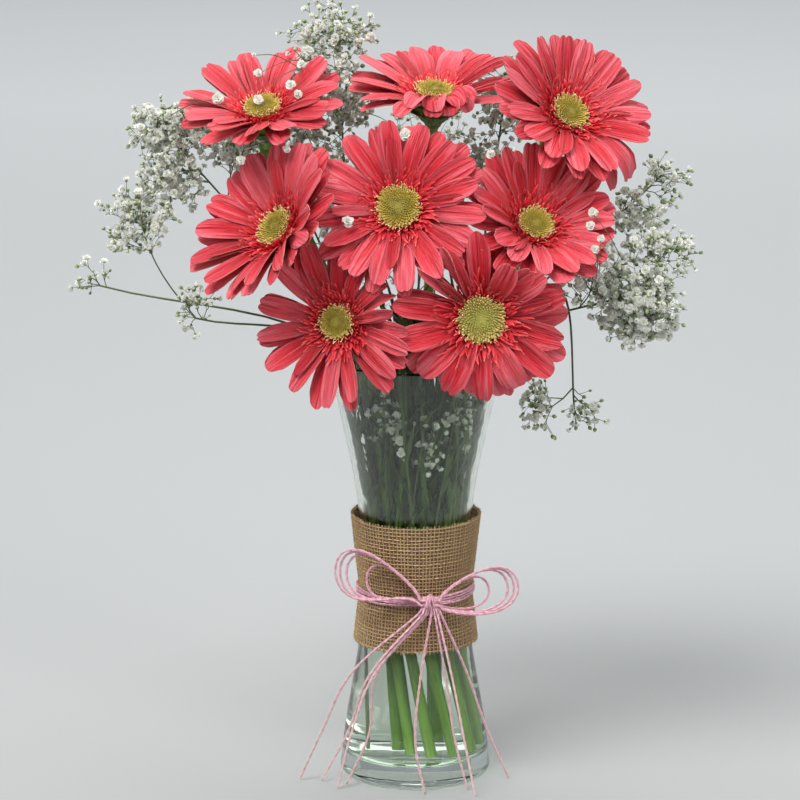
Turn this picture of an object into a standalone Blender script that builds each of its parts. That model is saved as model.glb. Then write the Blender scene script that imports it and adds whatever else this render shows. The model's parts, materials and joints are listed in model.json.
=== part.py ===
"""Eight coral gerberas and baby's breath in a waisted glass vase with a hessian band and a twine bow.

The vase stands on the XY plane with its axis on Z, and its front faces -Y. All sizes are in metres.
"""

import math
import random

import bmesh
import bpy
from mathutils import Matrix, Vector
from mathutils.bvhtree import BVHTree

# Vase: outer radius at each height, read upwards
VASE_HEIGHT = 0.250
VASE_OUTLINE = [
    (0.0, 0.0412),
    (0.0045, 0.0443),
    (0.025, 0.0420),
    (0.060, 0.0363),
    (0.0814, 0.0329),
    (0.103, 0.0312),
    (0.128, 0.0312),
    (0.1565, 0.0331),
    (0.1815, 0.0365),
    (0.2043, 0.0413),
    (VASE_HEIGHT, 0.0510),
]
GLASS_WALL = 0.0026
GLASS_BASE = 0.0120
BASE_CORNER = 0.0060
ROUND_STEPS = 24
GAP = 0.0003

# Water
WATER_LEVEL = 0.115

# Hessian band: outer radius at each height, pinched in where the twine ties it
BAND_OUTLINE = [
    (0.0814, 0.0359),
    (0.108, 0.0333),
    (0.116, 0.0333),
    (0.1565, 0.0373),
]
BAND_THICK = 0.0013
BAND_WAVES = 3
BAND_WAVE_HEIGHT = 0.0009

# Twine: turns round the band, a knot, two loops and hanging tails
TWINE = 0.0014
TIE_HEIGHT = 0.112
TIE_WIDTH = 0.0056
KNOT = Vector((0.0083, -0.0402, 0.1135))
KNOT_SIZE = Vector((0.0090, 0.0074, 0.0100))
STRANDS = 4
# Each loop: its far end, half its height, and how its upper and its lower run part from its axis,
# near the knot and added by its far end
LOOPS = {
    "left": (Vector((-0.0450, -0.0330, 0.1305)), 0.0165, (0.6, 0.8), (-0.3, 1.4)),
    "right": (Vector((0.0579, -0.0330, 0.1203)), 0.0138, (0.6, 0.8), (0.45, 0.55)),
}
LOOP_SCALES = (1.0, 0.95, 0.88, 0.66)
LOOP_LAYER = 0.0017
LOOP_POINTS = 9
TAIL_STEP = 0.00175
TAIL_FORWARD = 0.0010
TAIL_BENDS_AT = (0.35, 0.7)
# Each tail: where it ends on the table, then how far it bows at its two bends, to the right and back
TAILS = [
    (-0.0679, -0.0226, -0.0143, 0.0000, -0.0074, 0.0000),
    (-0.0550, -0.0250, -0.0098, -0.0030, -0.0018, -0.0004),
    (-0.0455, -0.0385, -0.0120, 0.0000, -0.0076, -0.0010),
    (-0.0401, -0.0330, -0.0128, 0.0020, -0.0010, 0.0014),
    (0.0050, -0.0478, -0.0047, 0.0000, -0.0065, 0.0000),
    (0.0302, -0.0410, -0.0004, 0.0000, -0.0020, 0.0000),
    (0.0345, -0.0530, 0.0008, -0.0010, 0.0004, -0.0010),
    (0.0548, -0.0200, 0.0010, 0.0000, -0.0010, 0.0000),
]
TAIL_POINTS = 6

# Gerbera heads
DISC_RADIUS = 0.0104
DISC_HEIGHT = 0.0036
HEART_RADIUS = 0.0135
HEART_HALF = 0.0028
HEART_SIDES = 12
RAY_ROOT = 0.0110
RAY_LENGTH = 0.0385
RAY_WIDTH = 0.0126
RAY_THICK = 0.0012
RAYS_A_LAYER = 9
RAY_CHANNEL = 0.0010
RAY_RINGS = [(0.0, 0.42), (0.48, 0.98), (0.84, 0.82)]
LAYERS = [(-0.0014, -5.0, 0.0), (0.0010, 6.0, 0.5)]
FRINGE_COUNT = 10
FRINGE_LENGTH = 0.0085
FRINGE_WIDTH = 0.0032
FRINGE_RISE = 52.0
CLEARANCE = 0.0008
BENDS = [
    (0.0, 1.0), (5.0, 1.0), (-5.0, 1.0), (10.0, 0.97), (-10.0, 0.95), (15.0, 0.92),
    (-15.0, 0.9), (21.0, 0.86), (-21.0, 0.84), (28.0, 0.8), (-28.0, 0.76), (36.0, 0.66),
]
STEM_RADIUS = 0.0030
CUP_OUTLINE = [(0.0, 0.0120), (0.003, 0.0127), (0.008, 0.0096), (0.013, 0.0050)]
CUP_DEPTH = 0.019
STEM_WAIST_RADIUS = 0.0145
STEM_FOOT_RADIUS = 0.0185
STEM_FOOT_HEIGHT = GLASS_BASE + 0.0016
STEM_FOOT_SHIFT = Vector((0.0110, 0.0, 0.0))
STEM_MOUTH_RADIUS = 0.0340
STEM_TWIST = 35.0
NECK = 0.030
NECK_SAG = 0.004

# Each head: middle of its disc, the way it faces, cup angle of its petals, droop at their tips,
# size, and the bearing at which its stem passes the waist
HEADS = [
    ((-0.0874, 0.0050, 0.3915), (-0.117, -0.449, 0.886), 21.0, 6.0, 1.03, 150.0),
    ((0.0107, 0.0150, 0.3993), (0.042, -0.353, 0.932), 20.0, 14.0, 1.03, 65.0),
    ((0.0866, 0.0000, 0.3905), (0.400, -0.700, 0.590), 26.0, 10.0, 1.03, 20.0),
    ((-0.0768, -0.0360, 0.3300), (-0.640, -0.520, 0.566), 30.0, 8.0, 1.09, 190.0),
    ((-0.0096, -0.0450, 0.3436), (-0.100, -0.898, 0.428), 18.0, 12.0, 1.03, 262.0),
    ((0.0668, -0.0300, 0.3310), (0.287, -0.695, 0.653), 32.0, 8.0, 1.00, 340.0),
    ((-0.0435, -0.0550, 0.2805), (-0.334, -0.915, 0.229), 18.0, 14.0, 1.00, 226.0),
    ((0.0364, -0.0600, 0.2840), (0.026, -0.999, 0.021), 16.0, 18.0, 1.03, 300.0),
]

# Baby's breath sprays: where the main stem ends, how far the cloud reaches round it, its number of
# side branches, the bearing at which the stem passes the waist, and the height of its foot
SPRAYS = [
    ((-0.182, -0.002, 0.292), 0.036, 5, 178.0, 0.0150),
    ((-0.138, 0.034, 0.368), 0.036, 3, 132.0, 0.0940),
    ((-0.046, 0.048, 0.437), 0.032, 3, 108.0, 0.0940),
    ((0.054, 0.050, 0.406), 0.030, 3, 42.0, 0.0940),
    ((0.142, 0.022, 0.352), 0.033, 3, 8.0, 0.0940),
    ((0.128, -0.018, 0.292), 0.036, 5, 350.0, 0.0940),
    ((0.092, -0.014, 0.218), 0.026, 3, 326.0, 0.0940),
    ((-0.126, -0.018, 0.276), 0.030, 3, 206.0, 0.0940),
    ((-0.070, 0.094, 0.330), 0.038, 3, 120.0, 0.0940),
    ((0.004, 0.107, 0.350), 0.038, 3, 86.0, 0.0940),
    ((0.078, 0.092, 0.326), 0.038, 3, 60.0, 0.0940),
]
# Sprigs that stay inside the glass, above the band: end, reach, branches, bearing, foot
SPRIGS = [
    ((-0.018, -0.033, 0.228), 0.011, 3, 238.0, 0.0940),
    ((0.004, -0.034, 0.214), 0.011, 3, 263.0, 0.0940),
    ((0.024, -0.029, 0.236), 0.011, 3, 296.0, 0.0940),
]
HANGING = 7
HANGING_CREST = Vector((0.084, -0.002, 0.288))
SPRAY_STEM = 0.0011
BRANCH = 0.0006
SPRAY_WAIST_RADIUS = 0.0252
SPRAY_MOUTH_RADIUS = 0.0440
TWIGS_A_BRANCH = 2
TWIG_LENGTH = 0.0130
FLORET_RADIUS = 0.0029
SWINGS = (0.0, 0.5, -0.5, 1.0, -1.0, 1.6, -1.6, 2.3)
DETOURS = (0.0, 7.0, -7.0, 14.0, -14.0, 21.0, -21.0, 28.0, -28.0)
GOLDEN_ANGLE = math.radians(137.5)

COLOURS = {
    "glass": ((0.72, 0.82, 0.78, 0.35), 0.03),
    "water": ((0.75, 0.85, 0.82, 1.0), 0.03),
    "hessian": ((0.50, 0.36, 0.20, 1.0), 0.90),
    "twine": ((0.86, 0.45, 0.52, 1.0), 0.75),
    "petal": ((0.84, 0.12, 0.15, 1.0), 0.50),
    "heart": ((0.47, 0.46, 0.10, 1.0), 0.70),
    "stem": ((0.13, 0.25, 0.05, 1.0), 0.55),
    "breath": ((0.72, 0.76, 0.64, 1.0), 0.65),
}


def clear_scene():
    """Removes what the scene holds, so that the script can run again."""
    for obj in list(bpy.data.objects):
        bpy.data.objects.remove(obj, do_unlink=True)


def new_collection(name):
    """A collection under the scene's own."""
    made = bpy.data.collections.new(name)
    bpy.context.scene.collection.children.link(made)
    return made


def material(name):
    """The Principled material of one finish, made once."""
    if name in bpy.data.materials:
        return bpy.data.materials[name]
    made = bpy.data.materials.new(name)
    made.use_nodes = True
    colour, roughness = COLOURS[name]
    shader = made.node_tree.nodes["Principled BSDF"]
    shader.inputs["Base Color"].default_value = colour
    shader.inputs["Roughness"].default_value = roughness
    shader.inputs["Metallic"].default_value = 0.0
    if name in ("glass", "water"):
        shader.inputs["Transmission Weight"].default_value = 1.0
    return made


def add_object(name, data, finish, home):
    """A named object with its finish, in its collection."""
    obj = bpy.data.objects.new(name, data)
    obj.data.materials.append(material(finish))
    home.objects.link(obj)
    return obj


def between(table, at):
    """The value of a table of (place, value) rows at one place, along straight lines."""
    for (low, first), (high, second) in zip(table, table[1:]):
        if at <= high:
            share = max(0.0, (at - low) / (high - low))
            return first + (second - first) * share
    return table[-1][1]


def bearing(degrees, radius, height=0.0):
    """A point at a compass bearing round the vase's axis, counted from +X towards +Y."""
    turn = math.radians(degrees)
    return Vector((radius * math.cos(turn), radius * math.sin(turn), height))


def smooth_line(knots, count, start_way=None, end_way=None):
    """Points along a smooth curve through the knots, count for each stretch."""
    ways = []
    for i, knot in enumerate(knots):
        before = knots[max(i - 1, 0)]
        after = knots[min(i + 1, len(knots) - 1)]
        ways.append((after - before) * (0.5 if 0 < i < len(knots) - 1 else 1.0))
    if start_way:
        ways[0] = start_way.normalized() * (knots[1] - knots[0]).length
    if end_way:
        ways[-1] = end_way.normalized() * (knots[-1] - knots[-2]).length
    line = [knots[0].copy()]
    for i in range(len(knots) - 1):
        for step in range(1, count + 1):
            t = step / count
            line.append(
                knots[i] * (2 * t**3 - 3 * t**2 + 1)
                + ways[i] * (t**3 - 2 * t**2 + t)
                + knots[i + 1] * (3 * t**2 - 2 * t**3)
                + ways[i + 1] * (t**3 - t**2)
            )
    return line


def tube(name, line, radii, finish, home, resolution=2):
    """A curve with a round section and filled caps along a line of points."""
    curve = bpy.data.curves.new(name, "CURVE")
    curve.dimensions = "3D"
    curve.bevel_depth = 1.0
    curve.bevel_resolution = resolution
    curve.use_fill_caps = True
    spline = curve.splines.new("POLY")
    spline.points.add(len(line) - 1)
    for point, place, radius in zip(spline.points, line, radii):
        point.co = (*place, 1.0)
        point.radius = radius
    return add_object(name, curve, finish, home)


def turned(name, profile, finish, home):
    """A solid of revolution from an open profile of (radius, height) points, down its outer side."""
    mesh = bpy.data.meshes.new(name)
    points = [(radius, 0.0, height) for radius, height in profile]
    mesh.from_pydata(points, [(i, i + 1) for i in range(len(points) - 1)], [])
    obj = add_object(name, mesh, finish, home)
    screw = obj.modifiers.new("turn", "SCREW")
    screw.axis = "Z"
    screw.steps = screw.render_steps = ROUND_STEPS
    screw.use_merge_vertices = True
    screw.merge_threshold = 0.00001
    return obj


def closed_turned(name, profile, finish, home):
    """A ring of revolution from a closed profile of (radius, height) points."""
    obj = turned(name, profile + profile[:1], finish, home)
    weld = obj.modifiers.new("seam", "WELD")
    weld.merge_threshold = 0.00001
    return obj


def shell_of(name, bm, finish, home):
    """An object from a bmesh, which is then freed."""
    bmesh.ops.recalc_face_normals(bm, faces=bm.faces)
    mesh = bpy.data.meshes.new(name)
    bm.to_mesh(mesh)
    bm.free()
    return add_object(name, mesh, finish, home)


def fused(name, body, pieces, finish, home):
    """The body joined with its pieces by one Boolean union, applied, with the pieces removed."""
    group = bpy.data.collections.new(name + "_pieces")
    bpy.context.scene.collection.children.link(group)
    for piece in pieces:
        for owner in list(piece.users_collection):
            owner.objects.unlink(piece)
        group.objects.link(piece)
    union = body.modifiers.new("union", "BOOLEAN")
    union.operation = "UNION"
    union.operand_type = "COLLECTION"
    union.collection = group
    union.solver = "MANIFOLD"
    bpy.context.view_layer.update()
    graph = bpy.context.evaluated_depsgraph_get()
    mesh = bpy.data.meshes.new_from_object(body.evaluated_get(graph))
    mesh.name = name
    mesh.transform(body.matrix_world)
    for piece in [body, *pieces]:
        bpy.data.objects.remove(piece, do_unlink=True)
    bpy.data.collections.remove(group)
    mesh.materials.clear()
    return add_object(name, mesh, finish, home)


def as_mesh_object(obj, home):
    """The curve object as a closed mesh object with its caps welded; the curve is removed."""
    bpy.context.view_layer.update()
    graph = bpy.context.evaluated_depsgraph_get()
    mesh = bpy.data.meshes.new_from_object(obj.evaluated_get(graph))
    bm = bmesh.new()
    bm.from_mesh(mesh)
    bmesh.ops.remove_doubles(bm, verts=bm.verts, dist=0.000002)
    bmesh.ops.recalc_face_normals(bm, faces=bm.faces)
    bm.to_mesh(mesh)
    bm.free()
    made = bpy.data.objects.new(obj.name + "_mesh", mesh)
    made.matrix_world = obj.matrix_world
    home.objects.link(made)
    bpy.data.objects.remove(obj, do_unlink=True)
    return made


def inner_radius(height):
    """The vase's inner radius at a height above its base."""
    return between(VASE_OUTLINE, height) - GLASS_WALL


def inner_levels(top):
    """The heights at which the vase's outline has points, from its inner corner up to a top."""
    corner = GLASS_BASE + BASE_CORNER
    return [corner] + [z for z, _ in VASE_OUTLINE if corner < z < top] + [top]


def make_vase(home):
    """The glass: thick base, waist and flared mouth, open at the top."""
    corner = GLASS_BASE + BASE_CORNER
    inside = [(0.0, GLASS_BASE), (inner_radius(corner) - BASE_CORNER, GLASS_BASE)]
    inside += [(inner_radius(z), z) for z in inner_levels(VASE_HEIGHT)]
    outside = [(radius, z) for z, radius in reversed(VASE_OUTLINE)]
    return turned("vase", inside + outside + [(0.0, 0.0)], "glass", home)


def make_water(home, stems):
    """The water, a little inside the glass, with a plain hole for each stem that stands in it."""
    corner = GLASS_BASE + BASE_CORNER
    side = [(inner_radius(z) - GAP, z) for z in inner_levels(WATER_LEVEL)]
    foot = [
        (inner_radius(corner) - BASE_CORNER - GAP, GLASS_BASE + GAP),
        (0.0, GLASS_BASE + GAP),
    ]
    water = turned("water", [(0.0, WATER_LEVEL)] + side[::-1] + foot, "water", home)
    holes = new_collection("stem_holes")
    for name, line, radius, resolution in stems:
        reach = (line[1] - line[0]).normalized() * GAP
        wide = (radius + GAP) / math.cos(math.pi / (4 + 2 * resolution))
        hole = tube(name + "_hole", [line[0] - reach, line[1]], [wide] * 2, "water", holes, resolution)
        as_mesh_object(hole, holes)
    for hole in holes.objects:
        hole.hide_render = True
        hole.display_type = "WIRE"
    cut = water.modifiers.new("stem holes", "BOOLEAN")
    cut.operation = "DIFFERENCE"
    cut.operand_type = "COLLECTION"
    cut.collection = holes
    cut.solver = "EXACT"
    return water


def make_band(home):
    """The hessian band: a cloth ring that stands off the glass at both edges, in soft waves."""
    mesh = bpy.data.meshes.new("hessian_band")
    bm = bmesh.new()
    rows = []
    low, high = BAND_OUTLINE[0][0], BAND_OUTLINE[-1][0]
    for height, radius in BAND_OUTLINE:
        from_tie = abs(height - TIE_HEIGHT) / max(high - TIE_HEIGHT, TIE_HEIGHT - low)
        row = []
        for step in range(ROUND_STEPS):
            turn = 2 * math.pi * step / ROUND_STEPS
            wave = 1 + math.sin(BAND_WAVES * turn + 0.8)
            out = radius + BAND_WAVE_HEIGHT * 0.5 * wave * min(1.0, from_tie)
            row.append(bm.verts.new((out * math.cos(turn), out * math.sin(turn), height)))
        rows.append(row)
    for lower, upper in zip(rows, rows[1:]):
        for step in range(ROUND_STEPS):
            following = (step + 1) % ROUND_STEPS
            bm.faces.new((lower[step], lower[following], upper[following], upper[step]))
    bm.to_mesh(mesh)
    bm.free()
    band = add_object("hessian_band", mesh, "hessian", home)
    cloth = band.modifiers.new("cloth", "SOLIDIFY")
    cloth.thickness = BAND_THICK
    cloth.offset = -1.0
    return band


def make_tie(home):
    """The turns of twine round the band, as one flat ring."""
    inner = between(BAND_OUTLINE, TIE_HEIGHT) + GAP
    half = TIE_WIDTH / 2
    profile = [
        (inner, TIE_HEIGHT - half),
        (inner, TIE_HEIGHT + half),
        (inner + TWINE, TIE_HEIGHT + half),
        (inner + TWINE, TIE_HEIGHT - half),
    ]
    return closed_turned("twine_tie", profile, "twine", home)


def make_knot(home):
    """The bow's knot, a rounded lump in front of the tie."""
    bm = bmesh.new()
    bmesh.ops.create_uvsphere(bm, u_segments=10, v_segments=6, radius=0.5)
    bmesh.ops.scale(bm, vec=KNOT_SIZE, verts=bm.verts)
    bmesh.ops.translate(bm, vec=KNOT, verts=bm.verts)
    return shell_of("twine_knot", bm, "twine", home)


def loop_line(side, strand):
    """One strand of a bow loop: out of the knot, round a drop shape and back under itself."""
    tip, half_height, above, below = LOOPS[side]
    way = 1.0 if side == "right" else -1.0
    layer = Vector((0.0, (strand - (STRANDS - 1) / 2) * LOOP_LAYER, 0.0))
    start = KNOT + Vector((way * (KNOT_SIZE.x / 2 + TWINE), 0.0, 0.0)) + layer
    reach = (tip - KNOT) * LOOP_SCALES[strand] - Vector((way * KNOT_SIZE.x / 2, 0.0, 0.0))
    rise = Vector((0.0, 0.0, 1.0))
    line = []
    for i in range(LOOP_POINTS):
        turn = 2 * math.pi * i / (LOOP_POINTS - 1)
        out = (1 - math.cos(turn)) / 2
        near, added = above if turn < math.pi else below
        high = math.sin(turn) * (near + added * out) * half_height * LOOP_SCALES[strand]
        parting = math.cos(turn / 2) * TWINE
        line.append(start + reach * out + rise * (high + parting))
    return line


def tail_line(number):
    """One hanging tail: from under the knot over its two bends down to the surface."""
    x, y, near_x, near_y, far_x, far_y = TAILS[number]
    across = (number - (len(TAILS) - 1) / 2) * TAIL_STEP
    start = KNOT + Vector((across, near_y / 2 - TAIL_FORWARD, -KNOT_SIZE.z / 2 - TWINE))
    end = Vector((x, y, TWINE))
    near = start.lerp(end, TAIL_BENDS_AT[0]) + Vector((near_x, near_y, 0.0))
    far = start.lerp(end, TAIL_BENDS_AT[1]) + Vector((far_x, far_y, 0.0))
    every = smooth_line([start, near, far, end], 5)
    return [every[round(i * (len(every) - 1) / (TAIL_POINTS - 1))] for i in range(TAIL_POINTS)]


def make_bow(home):
    """The loops and tails of the bow, each strand its own piece."""
    for side in LOOPS:
        for strand in range(STRANDS):
            line = loop_line(side, strand)
            name = f"twine_loop_{side}_{strand + 1}"
            tube(name, line, [TWINE / 2] * len(line), "twine", home)
    for number in range(len(TAILS)):
        line = tail_line(number)
        tube(f"twine_tail_{number + 1}", line, [TWINE / 2] * len(line), "twine", home)


def tree_of(obj):
    """A search tree of an object's surface, for telling what touches it."""
    bpy.context.view_layer.update()
    made = obj.evaluated_get(bpy.context.evaluated_depsgraph_get())
    mesh = made.to_mesh()
    mesh.calc_loop_triangles()
    places = [obj.matrix_world @ vert.co for vert in mesh.vertices]
    faces = [tuple(face.vertices) for face in mesh.loop_triangles]
    made.to_mesh_clear()
    return BVHTree.FromPolygons(places, faces)


def touches(bm, trees):
    """True where the bmesh's surface meets any of the trees."""
    own = BVHTree.FromBMesh(bm)
    return any(own.overlap(tree) for tree in trees)


def head_frame(head):
    """The head's own frame, with its disc's middle at the origin and its face along Z."""
    place, way = Vector(head[0]), Vector(head[1]).normalized()
    turn = way.to_track_quat("Z", "Y").to_matrix().to_4x4()
    return Matrix.Translation(place) @ turn


def gerbera_stem_line(head):
    """A stem's line from its foot in the water, past waist and mouth, to the back of its head."""
    place, way = Vector(head[0]), Vector(head[1]).normalized()
    foot = bearing(head[5] + STEM_TWIST, STEM_FOOT_RADIUS, STEM_FOOT_HEIGHT) + STEM_FOOT_SHIFT
    waist = bearing(head[5], STEM_WAIST_RADIUS, WATER_LEVEL + 0.006)
    top = place - way * (HEART_HALF * head[4] + GAP)
    neck = top - way * NECK - Vector((0.0, 0.0, NECK_SAG))
    flat = Vector((neck.x, neck.y, 0.0))
    mouth = flat * min(0.8, STEM_MOUTH_RADIUS / flat.length)
    mouth.z = VASE_HEIGHT
    curve = smooth_line([waist, mouth, neck, top - way * CUP_DEPTH], 2, waist - foot, way)
    return [foot] + curve, top, way


def make_stem(number, head, home):
    """The leafless stem and the green cup behind the head, in one piece."""
    line, top, way = gerbera_stem_line(head)
    radii = [STEM_RADIUS] * len(line)
    for back, radius in reversed(CUP_OUTLINE):
        line.append(top - way * back)
        radii.append(radius * head[4])
    return tube(f"gerbera_{number}_stem", line, radii, "stem", home)


def blade(length, width, thick, lift, droop, channel, rings):
    """A petal along +X from the origin: a four-sided cone shaped into a channelled, arched blade."""
    bm = bmesh.new()
    bmesh.ops.create_cone(bm, segments=4, radius1=1.0, radius2=0.0, depth=1.0, cap_ends=True)
    low = min(v.co.z for v in bm.verts)
    along = [e for e in bm.edges if abs(e.verts[0].co.z - e.verts[1].co.z) > 0.5]
    if len(rings) > 1:
        bmesh.ops.subdivide_edges(bm, edges=along, cuts=len(rings) - 1, use_grid_fill=True)
    levels = sorted({round(v.co.z - low, 4) for v in bm.verts})
    shape = dict(zip(levels, [*rings, (1.0, 0.0)]))
    for vert in bm.verts:
        share, wide = shape[round(vert.co.z - low, 4)]
        radial = math.hypot(vert.co.x, vert.co.y)
        side = vert.co.x / radial if radial > 1e-6 else 0.0
        face = vert.co.y / radial if radial > 1e-6 else 0.0
        slope = math.radians(lift - droop * share / 2)
        x = length * share * math.cos(slope)
        z = length * share * math.sin(slope) + face * thick / 2 * (1 - 0.4 * share)
        vert.co = (x, side * wide * width / 2, z + channel * abs(side) * wide)
    bmesh.ops.triangulate(bm, faces=bm.faces, quad_method="SHORT_EDGE")
    return bm


def set_in_head(bm, radius, height, turn, frame):
    """Moves a blade to a radius and height in the head, turned round its axis."""
    bmesh.ops.translate(bm, vec=(radius, 0.0, height), verts=bm.verts)
    bmesh.ops.transform(bm, matrix=frame @ Matrix.Rotation(turn, 4, "Z"), verts=bm.verts)
    return bm


def clear_ray(length, lift, droop, height, turn, frame, trees):
    """A long petal, bent just far enough to clear what stands round its head."""
    for bend, share in BENDS:
        parts = []
        for room in (2 * CLEARANCE, 0.0):
            size = (length * share + room, RAY_WIDTH + room, RAY_THICK + room)
            ray = blade(*size, lift + bend, droop, RAY_CHANNEL, RAY_RINGS)
            parts.append(set_in_head(ray, RAY_ROOT, height, turn, frame))
        wide, ray = parts
        met = touches(wide, trees)
        wide.free()
        if not met:
            return ray
        ray.free()
    return None


def make_heart(name, frame, home):
    """The short cylinder that all the petals of a head grow from."""
    bm = bmesh.new()
    bmesh.ops.create_cone(
        bm,
        segments=HEART_SIDES,
        radius1=HEART_RADIUS,
        radius2=HEART_RADIUS,
        depth=2 * HEART_HALF,
        cap_ends=True,
        matrix=frame,
    )
    return shell_of(name, bm, "petal", home)


def make_rays(number, head, home, trees):
    """The coral petals: two layers of long rays and the short fringe, on one heart."""
    _, _, cup, droop, size, _ = head
    frame = head_frame(head) @ Matrix.Scale(size, 4)
    draw = random.Random(number)
    name = f"gerbera_{number}_rays"
    body = make_heart(name, frame, home)
    pieces = []
    for height, lean, shift in LAYERS:
        for i in range(RAYS_A_LAYER):
            turn = 2 * math.pi * (i + shift + draw.uniform(-0.07, 0.07)) / RAYS_A_LAYER
            length = RAY_LENGTH * draw.uniform(0.94, 1.04)
            lift = cup + lean + draw.uniform(-1.5, 1.5)
            ray = clear_ray(length, lift, droop, height, turn, frame, trees)
            if ray:
                pieces.append(shell_of("ray", ray, "petal", home))
    for i in range(FRINGE_COUNT):
        turn = 2 * math.pi * (i + draw.uniform(-0.2, 0.2)) / FRINGE_COUNT
        tuft = blade(FRINGE_LENGTH, FRINGE_WIDTH, RAY_THICK, FRINGE_RISE, 0.0, 0.0, [(0.0, 1.0)])
        set_in_head(tuft, HEART_RADIUS - 0.0016, HEART_HALF - 0.0012, turn, frame)
        pieces.append(shell_of("tuft", tuft, "petal", home))
    return fused(name, body, pieces, "petal", home)


def make_disc(number, head, home):
    """The dome of tiny florets in the middle of a head, with their relief."""
    frame = head_frame(head) @ Matrix.Scale(head[4], 4)
    bm = bmesh.new()
    bmesh.ops.create_uvsphere(bm, u_segments=12, v_segments=6, radius=1.0)
    cut = bmesh.ops.bisect_plane(
        bm,
        geom=[*bm.verts, *bm.edges, *bm.faces],
        plane_co=(0.0, 0.0, 0.0),
        plane_no=(0.0, 0.0, -1.0),
        clear_outer=True,
    )
    rim = [e for e in cut["geom_cut"] if isinstance(e, bmesh.types.BMEdge)]
    bmesh.ops.contextual_create(bm, geom=rim)
    for vert in bm.verts:
        turn = math.atan2(vert.co.y, vert.co.x)
        ripple = 1 + 0.10 * math.cos(6 * turn + 9 * vert.co.z)
        high = vert.co.z * DISC_HEIGHT * ripple
        vert.co = (vert.co.x * DISC_RADIUS, vert.co.y * DISC_RADIUS, high)
    bmesh.ops.translate(bm, vec=(0.0, 0.0, HEART_HALF + GAP), verts=bm.verts)
    bmesh.ops.transform(bm, matrix=frame, verts=bm.verts)
    return shell_of(f"gerbera_{number}_disc", bm, "heart", home)


def add_spike(bm, start, end, thick, thin, sides):
    """Adds a closed tapered rod between two points; returns its corners."""
    way = end - start
    turn = way.to_track_quat("Z", "Y").to_matrix().to_4x4()
    made = bmesh.ops.create_cone(
        bm,
        segments=sides,
        radius1=thick,
        radius2=thin,
        depth=way.length,
        cap_ends=True,
        matrix=Matrix.Translation((start + end) / 2) @ turn,
    )
    return made["verts"]


def flower_twig(start, end):
    """A closed twig that ends in a little rounded flower."""
    bm = bmesh.new()
    length = (end - start).length
    add_spike(bm, start, end, BRANCH, 0.0, 3)
    along = [e for e in bm.edges if abs(e.calc_length() - length) < 0.1 * length]
    bmesh.ops.subdivide_edges(bm, edges=along, cuts=2, use_grid_fill=True)
    way = (end - start).normalized()
    bud = FLORET_RADIUS / length
    shape = [(0.0, BRANCH), (1 - 2 * bud, BRANCH), (1 - 0.8 * bud, FLORET_RADIUS), (1.0, 0.0)]
    for vert in bm.verts:
        level = min(3, round((vert.co - start).dot(way) / length * 3))
        foot = start + way * length * shape[level][0]
        out = vert.co - start
        out -= way * out.dot(way)
        vert.co = foot + (out.normalized() * shape[level][1] if out.length > 1e-7 else Vector())
    return bm


def spray_line(spray, detour, crest):
    """The main stem of a spray, from its foot in the water over the vase's rim to its end."""
    end, _, _, at_waist, foot_height = spray
    end = Vector(end)
    waist = bearing(at_waist, SPRAY_WAIST_RADIUS, WATER_LEVEL + 0.006)
    foot = bearing(at_waist + STEM_TWIST * 0.2, SPRAY_WAIST_RADIUS - 0.0006, foot_height)
    if foot_height < WATER_LEVEL / 2:
        foot = bearing(at_waist + 22.0, SPRAY_WAIST_RADIUS - 0.001, foot_height)
    knots = [waist]
    if end.z > VASE_HEIGHT or crest:
        aim = math.degrees(math.atan2(end.y, end.x))
        knots.append(bearing(aim + detour, SPRAY_MOUTH_RADIUS, VASE_HEIGHT + 0.002))
    knots += [crest, end] if crest else [end]
    return [foot] + smooth_line(knots, 3, waist - foot)


def rod(line, radius):
    """A plain rod along a line, for testing what it would touch."""
    bm = bmesh.new()
    for start, end in zip(line, line[1:]):
        add_spike(bm, start, end, radius, radius, 5)
    return bm


def clear_spray_line(number, spray, trees):
    """A spray's main stem on the first way round its neighbours that touches none of them."""
    crest = HANGING_CREST if number == HANGING else None
    for detour in DETOURS:
        line = spray_line(spray, detour, crest)
        bm = rod(line, SPRAY_STEM + CLEARANCE)
        met = touches(bm, trees)
        bm.free()
        if not met:
            return line
    print(f"spray {number} finds no clear way")
    return line


def clear_twig(root, way, angle, lean, length, trees):
    """The tip of a twig that leaves its root at an angle, swung aside until it touches nothing."""
    for swing in SWINGS:
        across = way.orthogonal().normalized()
        across.rotate(Matrix.Rotation(angle + swing, 3, way))
        tip = root + (across * math.sin(lean) + way * math.cos(lean)) * length
        wide, neck = FLORET_RADIUS * 1.4, tip.lerp(root, 2.2 * FLORET_RADIUS / length)
        bm = bmesh.new()
        add_spike(bm, root, tip.lerp(root, -CLEARANCE / length), 2 * BRANCH, 2 * BRANCH, 4)
        add_spike(bm, neck, tip, wide, wide, 4)
        met = touches(bm, trees)
        bm.free()
        if not met:
            return tip
    return None


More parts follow.
